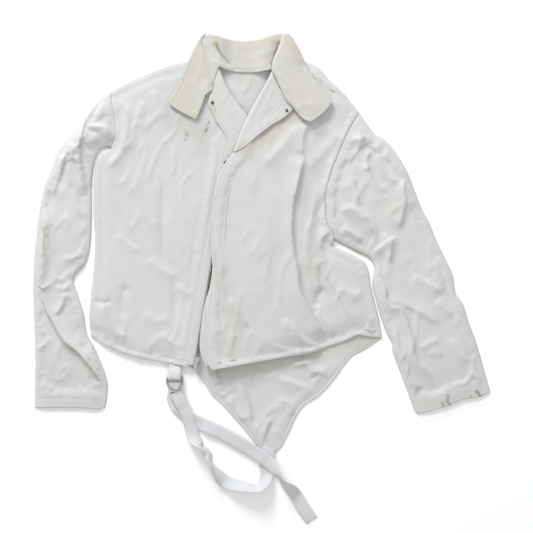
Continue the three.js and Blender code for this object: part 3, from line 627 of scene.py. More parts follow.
def dirt_and_shade(points, marks):
    """How strongly each point is marked, from lines of (points, width, strength). The marks are real stains
    and painted shade alike.
    """
    total = np.zeros(len(points))
    for line, width, strength in marks:
        total = np.maximum(total, strength * np.exp(-((near(points, through(line))[0] / width) ** 2)))
    return total


# Painted shadow: the two tan bands just below the left front's hem stand for the shadow the hem casts on the
# tail. The small patch below the neck darkens the top of the V.
back_soil = dirt_and_shade(back_flat, [([(150, -128), (215, -118)], 16, 0.35),
                             ([(-90, -176), (20, -163), (120, -140)], 12, 0.3),
                             ([(-40, 385), (-20, 382)], 14, 0.25)])
# The grey here is painted shade in the tail's creases.
back_cloth = ply("back_cloth", back_points, back_tris, back_edge, WALL, drill, soil=back_soil,
                 grey=crease_shade_lines(back_flat, TAIL_CREASES))
back_top = surface_of(back_points, back_tris)
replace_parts(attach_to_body(back_cloth, "jacket_body"), "back_panel")

# %% [markdown]
# ## The right front
# The right front is sewn to the back along the shoulder and the side, where its edge turns under, and
# carries half the zip along its centre edge. A long soft valley runs down its middle.

# %% The right front
right_ring = joined(RIGHT_SHOULDER, RIGHT_ARMHOLE, RIGHT_SIDE, RIGHT_HEM, RIGHT_ZIP_LINE, RIGHT_ROLL,
                    [(-84, 408), (-101, 415), (-118, 413)])
RIGHT_CREASES = [
    ([(-196, 202), (-190, 153), (-186, 43), (-169, 7), (-164, -58), (-171, -94)], -2.6, 9, 8),
    ([(-208, 363), (-185, 328), (-180, 301)], 1.6, 2.5, 14),
    ([(-270, 343), (-257, 316), (-257, 284), (-268, 244), (-296, 206)], 3.2, 9, 4),
    ([(-228, 339), (-236, 305), (-241, 286)], 1.8, 10, 4),
    ([(-321, -41), (-302, -47), (-285, -41)], -1.6, 4, 4),
    ([(-304, -41), (-296, -71), (-281, -98), (-255, -113)], 2.2, 4, 12),
    ([(-255, -9), (-266, -41), (-266, -79)], -2.0, 8, 8),
    ([(-274, 88), (-251, 64), (-230, 52)], 1.4, 3, 12),
    ([(-196, 190), (-186, 120), (-176, 70)], 1.0, 3, 16),
    ([(-160, -10), (-148, -24), (-134, -30)], 1.4, 3, 9),
    ([(-224, -60), (-200, -80), (-176, -70)], 1.2, 4, 10),
    ([(-268, 244), (-248, 262), (-243, 300)], 1.6, 4, 10),
    ([(-190, -100), (-176, -118), (-150, -128)], 1.3, 4, 10),
]
right_seams = through([*RIGHT_SIDE])
right_shoulder = through(RIGHT_SHOULDER)
hem_line, zip_line = through(RIGHT_HEM), through(RIGHT_ZIP_LINE)
right_lines = [(through(line), (-3, 0, 3)) for line, *_ in RIGHT_CREASES]
right_stitches = [beside(through(RIGHT_HEM), 10)[3:-2], beside(through([(-137, -160), (-68, 242)]), 12)]
right_lines += [(line, (-1.3, 0, 1.3)) for line in right_stitches]
right_flat, right_tris, right_edge = cut(right_ring, right_lines)
seam = np.minimum(near(right_flat, right_seams)[0], near(right_flat, right_shoulder)[0])
from_hem, from_zip = near(right_flat, hem_line)[0], near(right_flat, zip_line)[0]
quiet = smooth((from_zip - 8) / 26)
height = 2.0 + 7.4 * edge_rise(seam, 30) - 3.4 * (1 - smooth(from_hem / 34)) * quiet
rough = worn_cloth(right_flat, 21, 84, 1.0)
height += rough * quiet * smooth(seam / 16) * 1.5
for line, *shape in RIGHT_CREASES:
    height += 1.5 * crease(right_flat, through(line), *shape) * smooth(seam / 12) * np.maximum(quiet, 0.25)
for line in right_stitches:
    height += dip(right_flat, line)
right_points = np.column_stack([right_flat, np.clip(height, 2.0, 15)])
from_right_roll = near(right_flat, through(RIGHT_ROLL))[0]
held = 1 - quiet * smooth((seam - 3) / 14) * smooth(from_hem / 12) * smooth((from_right_roll - 20) / 15)
right_points = settled(right_points, right_tris, held, 0.02, 2.2)
right_points[:, 2] = np.clip(right_points[:, 2], 2.0, 15.5)
covered = np.array([(-68, 250), (-104, 337), (-126, 304), (-178, 332), (-140, 425), (-80, 410),
                    (-30, 307)], float)
under_collar = inside(right_flat, covered)
right_points[under_collar, 2] = np.minimum(right_points[under_collar, 2], 9.7)
# Painted shade: the broad tan and faint grey just below the collar leaf stand for the shade under it, the
# short tan line along the leaf's lower edge for its shadow, and the narrow tan line beside the flap's edge
# for the flap's shadow. The small grey lines near the collar are real marks on the cloth, and the grey in the
# creases is painted shade.
right_soil = dirt_and_shade(right_flat, [([(-163, 300), (-135, 285), (-108, 270)], 26, 0.16),
                               ([(-113, -30), (-96, 70)], 3.5, 0.8),
                               ([(-96, 345), (-84, 330), (-92, 318)], 7, 0.5),
                               ([(-140, 304), (-168, 322)], 5, 0.4)])
right_marks_and_shade = dirt_and_shade(right_flat, [([(-101, 297), (-104, 290), (-108, 279)], 1.6, 0.9),
                               ([(-144, 277), (-143, 272)], 2.2, 0.7),
                               ([(-147, 264), (-143, 262)], 1.6, 0.5),
                               ([(-163, 300), (-135, 288), (-110, 275)], 24, 0.07)])
right_marks_and_shade = np.maximum(right_marks_and_shade, crease_shade_lines(right_flat, RIGHT_CREASES))
right_cloth = ply("right_front_cloth", right_points, right_tris, right_edge, WALL, drill, soil=right_soil,
                  grey=right_marks_and_shade)
right_top = surface_of(right_points, right_tris)
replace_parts(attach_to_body(right_cloth, "jacket_body"), "right_front")

# %% [markdown]
# ## The left front
# The left front laps over the right. Its centre part is the flap that opens, and the cloth is one sheet
# over the body and the flap. Past the side seam the back wraps round and shows
# as a narrow strip. A deep pleat runs from under the collar to the side of the hem.

# %% The left front
left_ring = joined(LEFT_SHOULDER, [(53, 413), (36, 411), (19, 396)], LEFT_ROLL[::-1], FLAP_EDGE[::-1],
                   LEFT_HEM,
                   WRAP_HEM, LEFT_BODY_EDGE[::-1], LEFT_UNDERARM[::-1], LEFT_ARMHOLE)
LEFT_CREASES = [
    ([(79, 240), (79, 231), (70, 187), (60, 143), (57, 100), (60, 54), (66, 22), (75, -29), (93, -62),
      (114, -98), (127, -111)], 4.6, 3.0, 22, 0.08),
    ([(-61, -33), (-42, -64), (-21, -93)], 2.2, 2.5, 10),
    ([(41, -72), (77, -115), (116, -134)], 3.2, 3.0, 12),
    ([(16, -123), (51, -136), (116, -136)], 1.6, 3, 8),
    ([(72, 294), (42, 254), (0, 210)], 2.2, 14, 9),
    ([(89, 297), (78, 263), (79, 231)], 2.0, 3, 14),
    ([(158, 278), (120, 244), (84, 202)], 1.8, 12, 12),
    ([(139, 168), (114, 140), (106, 83)], -2.4, 10, 8),
    ([(116, -16), (106, -35), (106, -56)], -2.6, 8, 8),
    ([(72, 200), (66, 176), (62, 150)], 1.4, 3, 9),
    ([(96, 120), (86, 60), (92, 4)], 2.0, 10, 12),
    ([(112, 40), (104, 10), (110, -30)], 2.2, 4, 10),
    ([(100, -60), (120, -84), (140, -110)], 2.0, 5, 9),
    ([(30, 180), (14, 120), (10, 40)], 1.0, 18, 18),
    ([(-70, 60), (-76, 0), (-72, -70)], 0.9, 5, 9),
    ([(-50, -100), (-58, -130), (-62, -150)], 1.0, 4, 9),
    ([(128, 92), (112, 70), (118, 56)], 1.8, 3, 6),
    ([(140, -20), (170, -28), (196, -26)], 1.0, 5, 10),
    ([(112, 300), (132, 284), (150, 262)], 1.2, 5, 10),
]
flap_edge, hem_left = through(FLAP_EDGE), through(LEFT_HEM + WRAP_HEM)
fly_stitch = through([(-60, 190), (-70, 150), (-73, 100), (-72, 54), (-73, 22), (-82, -33), (-82, -66),
                      (-76, -98), (-80, -150)])
left_stitches = [fly_stitch, beside(hem_left, 10)[4:-3], beside(through(LEFT_SIDE_SEAM), 2.5),
                 beside(through(LEFT_ARMHOLE), 2.5)[5:-2], beside(flap_edge, -4)[6:-3],
                 through([(110, 368), (142, 351), (167, 337), (182, 320)])]
left_side = through(LEFT_SIDE_SEAM)
left_lines = [(through(line), (-3, 0, 3)) for line, *_ in LEFT_CREASES]
left_lines += [(line, (-1.3, 0, 1.3)) for line in left_stitches] + [(left_side, (-1.5, 0, 1.5))]
left_flat, left_tris, left_edge = cut(left_ring, left_lines)
turned = through(LEFT_SHOULDER), through(LEFT_UNDERARM + LEFT_BODY_EDGE[1:])
seam = np.minimum(near(left_flat, turned[0])[0], near(left_flat, turned[1])[0])
from_hem, from_flap = near(left_flat, hem_left)[0], near(left_flat, flap_edge)[0]


def left_loft(points):
    """How high the left front lies: over the zip at its edge, lower at the arm and at the neck."""
    x, y = points[:, 0], points[:, 1]
    return 9.6 + 10.0 * smooth((128 - x) / 120) * (1 - 0.62 * smooth((y - 225) / 110))


loft = left_loft(left_flat)
height = 2.2 + (loft - 2.2) * edge_rise(seam, 30)
calm = smooth((from_flap - 4) / 26)
lower = smooth((from_hem - 2) / 40)
height -= 5.5 * (1 - lower) * smooth((left_flat[:, 0] + 60) / 70) * edge_rise(seam, 30)
height += worn_cloth(left_flat, 31, 82, 1.5) * smooth(seam / 16) * (0.3 + 0.7 * calm)
for line, *shape in LEFT_CREASES:
    height += 1.5 * crease(left_flat, through(line), *shape) * smooth(seam / 12) * (0.45 + 0.55 * calm)
for line in left_stitches:
    height += dip(left_flat, line)
height += dip(left_flat, left_side, 1.2, 1.6) - 0.9 * (1 - pillow(from_flap, 4))
left_points = np.column_stack([left_flat, np.clip(height, 2.2, 25)])
from_left_roll = near(left_flat, through(LEFT_ROLL))[0]
held = 1 - calm * smooth((seam - 3) / 14) * smooth(from_hem / 14) * smooth((from_left_roll - 16) / 15)
held = np.maximum(held, np.exp(-(near(left_flat, through(LEFT_ARMHOLE))[0] / 7) ** 2))
left_points = settled(left_points, left_tris, held, 0.025, 2.4)
left_points[:, 2] = np.clip(left_points[:, 2], 2.2, 25)
covered = np.array([(-55, 238), (-4, 276), (57, 322), (132, 332), (110, 395), (19, 420), (-20, 330)], float)
under_collar = inside(left_flat, covered)
left_points[under_collar, 2] = np.minimum(left_points[under_collar, 2], loft[under_collar] + 0.2)
# Painted shadow: the tan band below the left lapel's edge stands for the shadow that edge casts, and the
# narrow tan line just inside the flap's edge for the shade along its rolled edge.
left_soil = dirt_and_shade(left_flat, [([(60, 312), (30, 288), (-4, 262), (-30, 246)], 16, 0.55),
                             ([(-88, 50), (-84, -20)], 3, 0.5),
                             ([(-72, 20), (-72, -30)], 4, 0.35),
                             ([(-60, -60), (-48, -100), (-60, -130)], 22, 0.18),
                             ([(96, 40), (100, 10)], 14, 0.2)])
# The grey here is painted shade in the creases.
left_cloth = ply("left_front_cloth", left_points, left_tris, left_edge, WALL, drill, soil=left_soil,
                 grey=crease_shade_lines(left_flat, LEFT_CREASES))
left_top = surface_of(left_points, left_tris)


def opens_with_flap(obj):
    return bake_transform(obj)


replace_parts(opens_with_flap(left_cloth), "left_front", "left_front_flap")
print("left front:", len(left_points), "points, highest", round(float(left_points[:, 2].max()), 1), "mm")

# %% [markdown]
# ## The sleeves
# A sleeve is a tube of cloth lying flat: two layers that meet in a rolled edge along both sides, open at
# the cuff. The upper layer carries the pleats that a bent arm leaves. Both layers are made from one
# outline and joined along the rolled edges.

# %% How a sleeve is made


def make_sleeve(name, armhole, outer, cuff, inner, creases, stitches, loft, seed, soil, grey, folds, front):
    """A flat tube of cloth. Its lines run from the armhole down the outer edge, over the cuff and back.
    At the armhole it lies as high as the front that it is sewn to."""
    ring = joined(armhole, outer, cuff, inner)
    lines = [(through(line), (-3, 0, 3)) for line, *_ in creases]
    lines += [(line, (-1.3, 0, 1.3)) for line in stitches]
    lines += [(through(line), (-1.0, 0, 1.0)) for line, width, _ in grey if width < 3]
    flat, tris, edge = cut(ring, lines, seed=seed)
    sides = np.minimum(near(flat, through(outer))[0], near(flat, through(inner))[0])
    from_cuff, from_arm = near(flat, through(cuff))[0], near(flat, through(armhole))[0]
    rise = edge_rise(sides, 26)
    free = smooth((sides - 2) / 16) * (0.25 + 0.75 * smooth(from_cuff / 40))
    top = 1.4 + (loft * (0.4 + 0.6 * smooth(from_cuff / 120)) - 1.4) * rise + worn_cloth(flat, seed, 78,
                                                                                         1.9) * free
    for line, *shape in creases:
        top += 1.6 * crease(flat, through(line), *shape) * smooth(sides / 9)
    for line in stitches:
        top += dip(flat, line, 0.3)
    seam_line = through(armhole)
    centre = flat.mean(0)
    ahead = np.gradient(seam_line, axis=0)
    off = np.column_stack([-ahead[:, 1], ahead[:, 0]]) / np.linalg.norm(ahead, axis=1)[:, None]
    off *= np.sign(((seam_line - centre) * off).sum(1))[:, None]
    seam_height = onto(seam_line + 1.6 * off, front)[:, 2]
    _, _, run = near(flat, seam_line)
    at_seam = np.interp(run, np.linspace(0, 1, len(seam_line)), seam_height)
    sewn = np.exp(-((from_arm / 12) ** 2)) * smooth(sides / 5)
    top = top * (1 - sewn) + (at_seam - 0.5 * np.exp(-((from_arm / 1.6) ** 2))) * sewn
    upper = np.column_stack([flat, np.clip(top, 1.2, 19)])
    held = 1 - free * smooth((from_arm - 4) / 18) * smooth((from_cuff - 18) / 16)
    upper = settled(upper, tris, held, 0.035, 3.6)
    upper[:, 2] = np.clip(upper[:, 2], 1.2, 20)
    lower = np.column_stack([flat, 0.35 + 0.9 * np.exp(-((sides / 1.2) ** 2))])
    lower[:, :2] = upper[:, :2]
    n = len(flat)
    rolled = np.zeros(n, bool)
    rolled[:edge] = (sides[:edge] < 0.3) & (from_cuff[:edge] > 0.5) & (from_arm[:edge] > 0.5)
    index = np.where(rolled, np.arange(n), np.arange(n) + n)
    faces = np.vstack([tris, index[tris[:, ::-1]]])
    points = np.vstack([upper, lower])
    # Tan and grey from the given lines (stains, wear and painted shade), with painted shade added in the
    # sharper creases.
    soils, greys = dirt_and_shade(flat, soil), np.maximum(dirt_and_shade(flat, grey), crease_shade_lines(flat, creases))
    sleeve = new_piece(name, points, faces, drill, soil=np.tile(soils, 2), grey=np.tile(greys, 2))
    wall = sleeve.modifiers.new("wall", "SOLIDIFY")
    wall.thickness, wall.offset = WALL * MM, -1
    bare = bpy.data.meshes.new_from_object(sleeve.evaluated_get(bpy.context.evaluated_depsgraph_get()))
    sleeve.modifiers.clear()
    sleeve.data = bare
    loose = [v.index for v in bare.vertices]
    used = np.zeros(len(bare.vertices), bool)
    for face in bare.polygons:
        used[list(face.vertices)] = True
    if not used.all():
        whole = bmesh.new()
        whole.from_mesh(bare)
        whole.verts.ensure_lookup_table()
        bmesh.ops.delete(whole, geom=[whole.verts[i] for i in loose if not used[i]], context="VERTS")
        whole.to_mesh(bare)
        whole.free()
    folds(sleeve)
    print(name, len(bare.vertices), "points")
    return sleeve, surface_of(upper, tris), area_of(ring)


# %% The right sleeve
RS_OUTER = [(-283, 361), (-300, 350), (-322, 330), (-351, 291), (-372, 267), (-390, 241), (-401, 210),
            (-412, 184), (-420, 153), (-427, 110), (-431, 73), (-434, 39), (-436, -20), (-434, -83),
            (-432, -155), (-433, -247)]
RS_CUFF = [(-433, -247), (-400, -246), (-370, -246), (-335, -247), (-310, -249), (-299, -245)]
RS_INNER = [(-299, -245), (-296, -228), (-295, -197), (-305, -165), (-320, -131), (-334, -104), (-340, -67),
            (-351, -31), (-359, -5), (-356, 5), (-338, 26), (-329, 52), (-325, 111), (-324.5, 176),
            (-322, 206), (-317, 229), (-306, 246), (-290, 250)]
RS_CREASES = [
    ([(-296, 351), (-315, 332), (-334, 301), (-346, 267)], 2.2, 3, 12),
    ([(-336, 290), (-344, 267), (-346, 229), (-341, 191), (-338, 153)], 3.2, 3.5, 16),
    ([(-376, 240), (-382, 208), (-394, 174), (-397, 153)], 2.6, 4, 14),
    ([(-352, 262), (-364, 220), (-366, 170)], 1.8, 10, 6),
    ([(-407, 140), (-416, 73), (-419, 14), (-417, -24), (-411, -54), (-397, -81), (-375, -119),
      (-356, -134), (-331, -161), (-314, -184), (-302, -211)], 4.4, 12, 2.6, 0.1),
    ([(-388, -12), (-377, -21), (-363, -5)], 2.4, 3, 7),
    ([(-375, -24), (-376, -45), (-392, -71)], 2.6, 3, 8),
    ([(-331, 286), (-312, 290), (-293, 282), (-285, 267), (-300, 256)], 2.6, 4, 12),
    ([(-327, 31), (-346, 20), (-361, -3)], 2.0, 6, 5),
    ([(-433, -136), (-418, -128), (-403, -111)], 1.4, 3, 7),
    ([(-312, 238), (-322, 210), (-330, 170)], 1.6, 4, 6),
    ([(-420, -20), (-402, -10), (-388, 8)], 1.6, 4, 8),
    ([(-326, -120), (-318, -150), (-306, -176)], 1.8, 3, 7),
    ([(-398, -196), (-380, -188), (-366, -172)], 1.2, 4, 8),
]
rs_stitches = [beside(through(RS_CUFF), 18)[2:-2]]
# Painted shade: the first four tan lines follow the long pleat from the elbow to the cuff and stand for the
# shade along it.
RS_SHADE_AND_SOIL = [([(-414, 96), (-416, 70), (-416, 44)], 2.0, 1.0), ([(-408, 130), (-413, 96)], 4, 0.3),
           ([(-372, -122), (-358, -136), (-346, -146)], 3.0, 0.7), ([(-330, -166), (-312, -196)], 9, 0.25),
           ([(-404, -240), (-360, -240), (-310, -240)], 9, 0.12)]

def right_sleeve_folds(obj):
    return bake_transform(obj)


right_sleeve, right_sleeve_top, cut_area = make_sleeve(
    "right_sleeve_cloth", RIGHT_ARMHOLE[::-1], RS_OUTER, RS_CUFF, RS_INNER, RS_CREASES, rs_stitches,
    11.0, 41, RS_SHADE_AND_SOIL, [([(-300, 251), (-291, 252)], 2.5, 0.25)], right_sleeve_folds, right_top)
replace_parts(right_sleeve, "right_sleeve_head", "right_upper_sleeve", "right_lower_sleeve", "right_cuff")

# %% The left sleeve
LS_OUTER = [(185, 316), (218, 273), (232, 266), (256, 238), (275, 207), (292, 165), (305, 131), (317, 110),
            (331, 75), (348, 40), (363, 7), (369, -28), (382, -47), (394, -84), (407, -119), (422, -170),
            (435, -217)]
LS_CUFF = [(435, -217), (414, -225), (398, -228), (378, -232), (358, -241), (328, -250), (297, -259)]
LS_INNER = [(297, -259), (291, -252), (282, -228), (272, -202), (262, -175), (249, -140), (247, -122),
            (239, -108),
            (228, -79), (217.5, -43), (210, -8), (214, 20), (205, 37), (177, 52), (150, 66), (134, 74)]
LS_CREASES = [
    ([(269, 191), (272, 145), (258, 90)], 3.4, 3, 14),
    ([(196, 221), (217, 181), (241, 164)], 2.4, 4, 12),
    ([(231, 3), (241, -52), (264, -58), (282, -104), (294, -155), (317, -180), (331, -213)], 3.2, 4, 12),
    ([(148, 121), (167, 134), (190, 123), (209, 96), (218, 81)], 3.4, 5, 14),
    ([(207, 45), (234, 66), (258, 81)], 3.0, 3, 12),
    ([(190, 278), (182, 244), (158, 216)], 1.8, 4, 12),
    ([(209, 244), (200, 229), (201, 202)], 2.0, 3, 9),
    ([(262, 219), (277, 168), (285, 126)], 2.2, 10, 5),
    ([(285, 7), (319, -12), (342, -26)], 2.4, 4, 14),
    ([(236, -41), (281, -54), (338, -88)], 2.2, 14, 5),
    ([(332, -41), (350, -60), (363, -71)], 1.8, 4, 8),
    ([(300, -136), (315, -124), (338, -113)], 1.8, 4, 9),
    ([(251, -79), (260, -126), (272, -164), (304, -221)], 2.4, 4, 10),
    ([(222, 240), (226, 216), (240, 196), (262, 180)], 2.4, 4, 10),
    ([(172, 196), (180, 160), (186, 136)], 1.8, 4, 9),
    ([(150, 96), (170, 86), (190, 70)], 2.6, 5, 8),
    ([(232, 90), (246, 60), (240, 30)], 2.2, 4, 9),
    ([(330, 40), (336, 0), (350, -30)], 1.6, 5, 12),
    ([(218, 30), (226, 0), (236, -40)], 1.8, 4, 7),
    ([(360, -110), (372, -140), (396, -160)], 1.2, 5, 10),
    ([(318, -150), (330, -136), (344, -150)], 1.6, 3, 8),
]
ls_stitches = [beside(through(LS_CUFF), 17)[2:-2]]
# The small grey marks by the cuff are worn holes in the cloth. Painted shade: the grey line and the tan line
# along the sleeve's rolled inner edge at the underarm stand for the shade where it turns under beside the
# body.
LS_WEAR_AND_SHADE = [([(344, -238), (345, -243)], 1.4, 0.8), ([(355, -224), (353, -233), (358, -241)], 1.3, 0.9),
           ([(409, -214), (413, -220), (417, -225)], 1.6, 0.9), ([(398, -221), (398, -227)], 1.2, 0.5),
           ([(134, 76), (152, 66), (177, 53), (205, 37)], 1.8, 0.35)]
LS_SHADE_AND_SOIL = [([(160, 62), (190, 48), (208, 38)], 5, 0.35), ([(300, -235), (330, -240), (420, -212)], 8, 0.2),
           ([(250, 120), (262, 150)], 9, 0.2)]


def left_sleeve_folds(obj):
    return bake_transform(obj)


left_sleeve, left_sleeve_top, cut_area = make_sleeve(
    "left_sleeve_cloth", LEFT_ARMHOLE, LS_OUTER, LS_CUFF, LS_INNER, LS_CREASES, ls_stitches,
    11.0, 51, LS_SHADE_AND_SOIL, LS_WEAR_AND_SHADE, left_sleeve_folds, left_top)
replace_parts(left_sleeve, "left_upper_sleeve", "left_lower_sleeve", "left_cuff")

# %% [markdown]
# ## Collar and lapels
# The collar is two plies of drill sewn to the neck: its middle lies inside-up on the back, and at each
# side it rolls over into a leaf that lies on the front. The lapels are the fronts' upper edges turned
# back, showing their facing. Plies this thick roll instead of creasing, and each edge is topstitched.

# %% A ply of the collar or a lapel
MIDDLE_LIES, RIGHT_LIES, LEFT_LIES = 3.0, 12.2, 16.4


def turned_ply(name, ring, top, thick, finish, lines=(), creases=(), soil=(), grey=(), grid=3.4, seed=5):
    """A small stiff piece of cloth whose upper face lies at top(points)."""
    rows = [(through(line), (-2, 0, 2)) for line, *_ in creases] + [(line, (-1.1, 0, 1.1)) for line in lines]
    flat, tris, edge = cut(ring, rows, grid=grid, seed=seed)
    height = top(flat)
    for line, *shape in creases:
        height = height + crease(flat, through(line), *shape)
    for line in lines:
        height = height + dip(flat, line, 0.45, 1.1)
    points = np.column_stack([flat, height])
    cloth = ply(name, points, tris, edge, thick, finish, soil=dirt_and_shade(flat, soil), grey=dirt_and_shade(flat, grey))
    return cloth, surface_of(points, tris), area_of(ring)


# %% The collar's middle
NECK_BACK = [(-84, 404), (-61, 395), (-32, 392), (-4, 393), (17, 396)]
COLLAR_TOP = [(50, 452), (44, 462), (36, 465), (19, 463), (-2, 457), (-32, 454), (-65, 457), (-87, 463),
              (-101, 466), (-108, 464)]
band_ring = joined([(-110, 464), (-112, 440), (-108, 380), (-104, 345)],
                   [(-104, 345), (-93, 366), (-87, 389), (-82, 402)],
                   [(-82, 402), *NECK_BACK[1:]], [(17, 396), (28, 379), (44, 354), (50, 346)],
                   [(50, 346), (54, 380), (50, 452)], COLLAR_TOP)
collar_top, neck_back = through(COLLAR_TOP), through(NECK_BACK)


def band_lies(points):
    x = points[:, 0]
    rise = (RIGHT_LIES - MIDDLE_LIES) * smooth((-52 - x) / 34) + (LEFT_LIES
                                                                  - MIDDLE_LIES) * smooth((x + 22) / 44)
    fold = 1.6 * pillow(near(points, collar_top)[0], 5) - 1.6
    return MIDDLE_LIES + rise + fold + 0.8 * worn_cloth(points, 61, 20,
                                                        0.9) * smooth(near(points, collar_top)[0] / 12)


neck_rows = [beside(neck_back, 2.4), beside(neck_back, 6.0)]
band, band_top, band_cut = turned_ply(
    "collar_middle", band_ring, band_lies, 1.6, collar_drill, neck_rows,
    [([(34, 452), (27, 430), (19, 411), (16, 398)], -3.2, 3, 7),
     ([(-92, 452), (-84, 436), (-72, 420), (-56, 402)], -2.6, 3, 8),
     ([(-101, 418), (-80, 408), (-50, 400)], 1.4, 2.5, 7), ([(-60, 446), (-30, 440), (4, 446)], 0.8, 6, 8),
     ([(-40, 430), (-20, 420), (6, 424)], 0.7, 5, 8)],
    # Painted shade: the tan and grey laid along the two corner creases, and the faint grey beside the left
    # one, stand for the shade in those creases.
    [([(-24, 452), (2, 450), (22, 455)], 9, 0.38), ([(-90, 455), (-60, 449), (-30, 446)], 10, 0.2),
     ([(33, 450), (27, 428), (20, 410)], 4, 1.0), ([(-90, 447), (-84, 436)], 3.2, 1.0),
     ([(-40, 432), (-10, 425)], 16, 0.12),
     ([(36, 462), (24, 456)], 7, 0.5)],
    [([(33, 448), (28, 432), (21, 414), (17, 398)], 2.0, 0.75),
     ([(-87, 446), (-81, 431), (-72, 420)], 1.6, 0.6),
     ([(-72, 420), (-58, 404)], 1.6, 0.3), ([(20, 440), (8, 420), (12, 404)], 9, 0.12)])
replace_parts(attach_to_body(band, "jacket_body"), "collar_band")

# %% The two leaves
RIGHT_LEAF_ROLL = [(-108, 465), (-112, 452), (-111, 440), (-104, 423), (-97, 403), (-94, 375), (-93, 358)]
right_leaf_ring = joined(RIGHT_LEAF_ROLL, [(-93, 358), (-106, 349), (-114, 328), (-123, 305)],
                         [(-123, 305), (-126, 303), (-146, 312), (-168, 325), (-177, 333)],
                         [(-177, 333), (-177, 338), (-169, 351), (-159, 368), (-148, 396), (-137, 419),
                          (-130, 434), (-122, 449),
                          (-114, 461), (-108, 465)])
LEFT_LEAF_ROLL = [(42, 464), (36, 452), (28, 431), (20, 411), (19, 394), (25, 382), (36, 358), (46, 337),
                  (57, 326),
                  (71, 308)]
left_leaf_ring = joined(LEFT_LEAF_ROLL, [(71, 308), (80, 301), (89, 297)],
                        [(89, 297), (93, 297), (110, 308), (122, 319), (132, 332)],
                        [(132, 332), (132, 336), (120, 353), (104, 373), (89, 394), (79, 415), (72, 432),
                         (65, 444), (58, 456),
                         (50, 463), (42, 464)])
right_roll_line, left_roll_line = through(RIGHT_LEAF_ROLL), through(LEFT_LEAF_ROLL)


def right_leaf_lies(points):
    away = near(points, right_roll_line)[0]
    return 12.3 + 2.6 * smooth(away / 9) - 2.6 * smooth(away / 70) + 0.55 * worn_cloth(points, 71, 60, 1.0)


def left_leaf_lies(points):
    away = near(points, left_roll_line)[0]
    return 17.0 + 2.9 * pillow(away, 8) - 6.0 * smooth((away - 20) / 70) + 0.6 * worn_cloth(points, 81,
                                                                                            100, 1.0)


right_rows = [beside(through([(-177, 335), (-169, 351), (-159, 368), (-148, 396), (-137, 419)]), -7),
              beside(through([(-126, 306), (-137, 304), (-154, 314), (-168, 325), (-175, 333)]), -7)[2:-1]]
left_rows = [beside(through([(132, 332), (120, 353), (104, 373), (89, 394), (79, 415), (72, 432),
                             (58, 452)]), 10)[3:],
             beside(through([(80, 300), (90, 295), (103, 301), (118, 314), (132, 332)]), 11)[2:-3]]
right_leaf, right_leaf_top, right_leaf_cut = turned_ply(
    "collar_leaf_right_cloth", right_leaf_ring, right_leaf_lies, 1.7, collar_drill, right_rows,
    [([(-118, 440), (-112, 410), (-108, 380)], 1.0, 5, 10),
     ([(-126, 306), (-122, 322), (-118, 340)], 0.8, 3, 7)],
    [([(-125, 420), (-135, 390), (-148, 345), (-140, 325)], 26, 0.16), ([(-126, 307), (-134, 306)], 8, 0.25)])
left_leaf, left_leaf_top, left_leaf_cut = turned_ply(
    "collar_leaf_left_cloth", left_leaf_ring, left_leaf_lies, 1.7, collar_drill, left_rows,
    [([(48, 456), (62, 430), (76, 404)], 1.0, 5, 10), ([(64, 322), (84, 330), (104, 334)], 0.9, 5, 9),
     ([(30, 392), (44, 376), (52, 350)], 0.9, 4, 9)],
    [([(44, 458), (60, 440), (72, 420)], 10, 0.25), ([(60, 380), (90, 340), (110, 325)], 26, 0.10)])
RIGHT_HINGE, LEFT_HINGE = (np.array([-108.0, 386.0]),
                           np.array([-0.997, -0.074])), (np.array([67.5, 372.5]), np.array([0.963, 0.270]))


def turns_with_leaf(obj):
    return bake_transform(obj)


for leaf, side, hinge, node, leaf_cut in ((right_leaf, "right", RIGHT_HINGE, "collar_leaf_right",
                                           right_leaf_cut),
                                          (left_leaf, "left", LEFT_HINGE, "collar_leaf_left", left_leaf_cut)):
    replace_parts(turns_with_leaf(leaf), node)

# %% The lapels
RIGHT_LAPEL_EDGE = [(-68, 250), (-66, 262), (-73, 278), (-87, 299), (-94, 314), (-103, 334)]
right_lapel_ring = joined(RIGHT_LAPEL_EDGE, [(-103, 334), (-97, 356), (-88, 385), (-84, 404)],
                          [(-84, 404), (-74, 382), (-60, 352), (-43, 328), (-26, 304), (-34, 270),
                           (-52, 240)],
                          [(-52, 240), (-62, 226), (-72, 222), (-72, 236), (-68, 250)])
LEFT_LAPEL_EDGE = [(-53, 239), (-32, 250), (-4, 274), (19, 291), (42, 305), (60, 322)]
left_lapel_ring = joined(LEFT_LAPEL_EDGE, [(60, 322), (44, 345), (27, 373), (19, 396)],
                         [(19, 396), (7, 370), (-18, 326), (-34, 294), (-44, 269), (-55, 239)])
right_front_roll = through([(-84, 404), (-74, 382), (-60, 352), (-43, 328), (-26, 304), (-34, 270),
                            (-52, 240)])
left_front_roll = through([(19, 396), (7, 370), (-18, 326), (-34, 294), (-44, 269), (-55, 239)])


def right_lapel_lies(points):
    return 9.8 + 2.0 * pillow(near(points, right_front_roll)[0], 5) + 0.5 * worn_cloth(points, 91, 70, 0.9)


def left_lapel_lies(points):
    return left_loft(points) - 0.5 + 2.2 * pillow(near(points, left_front_roll)[0],
                                                  5) + 0.5 * worn_cloth(points, 95, 60, 0.9)


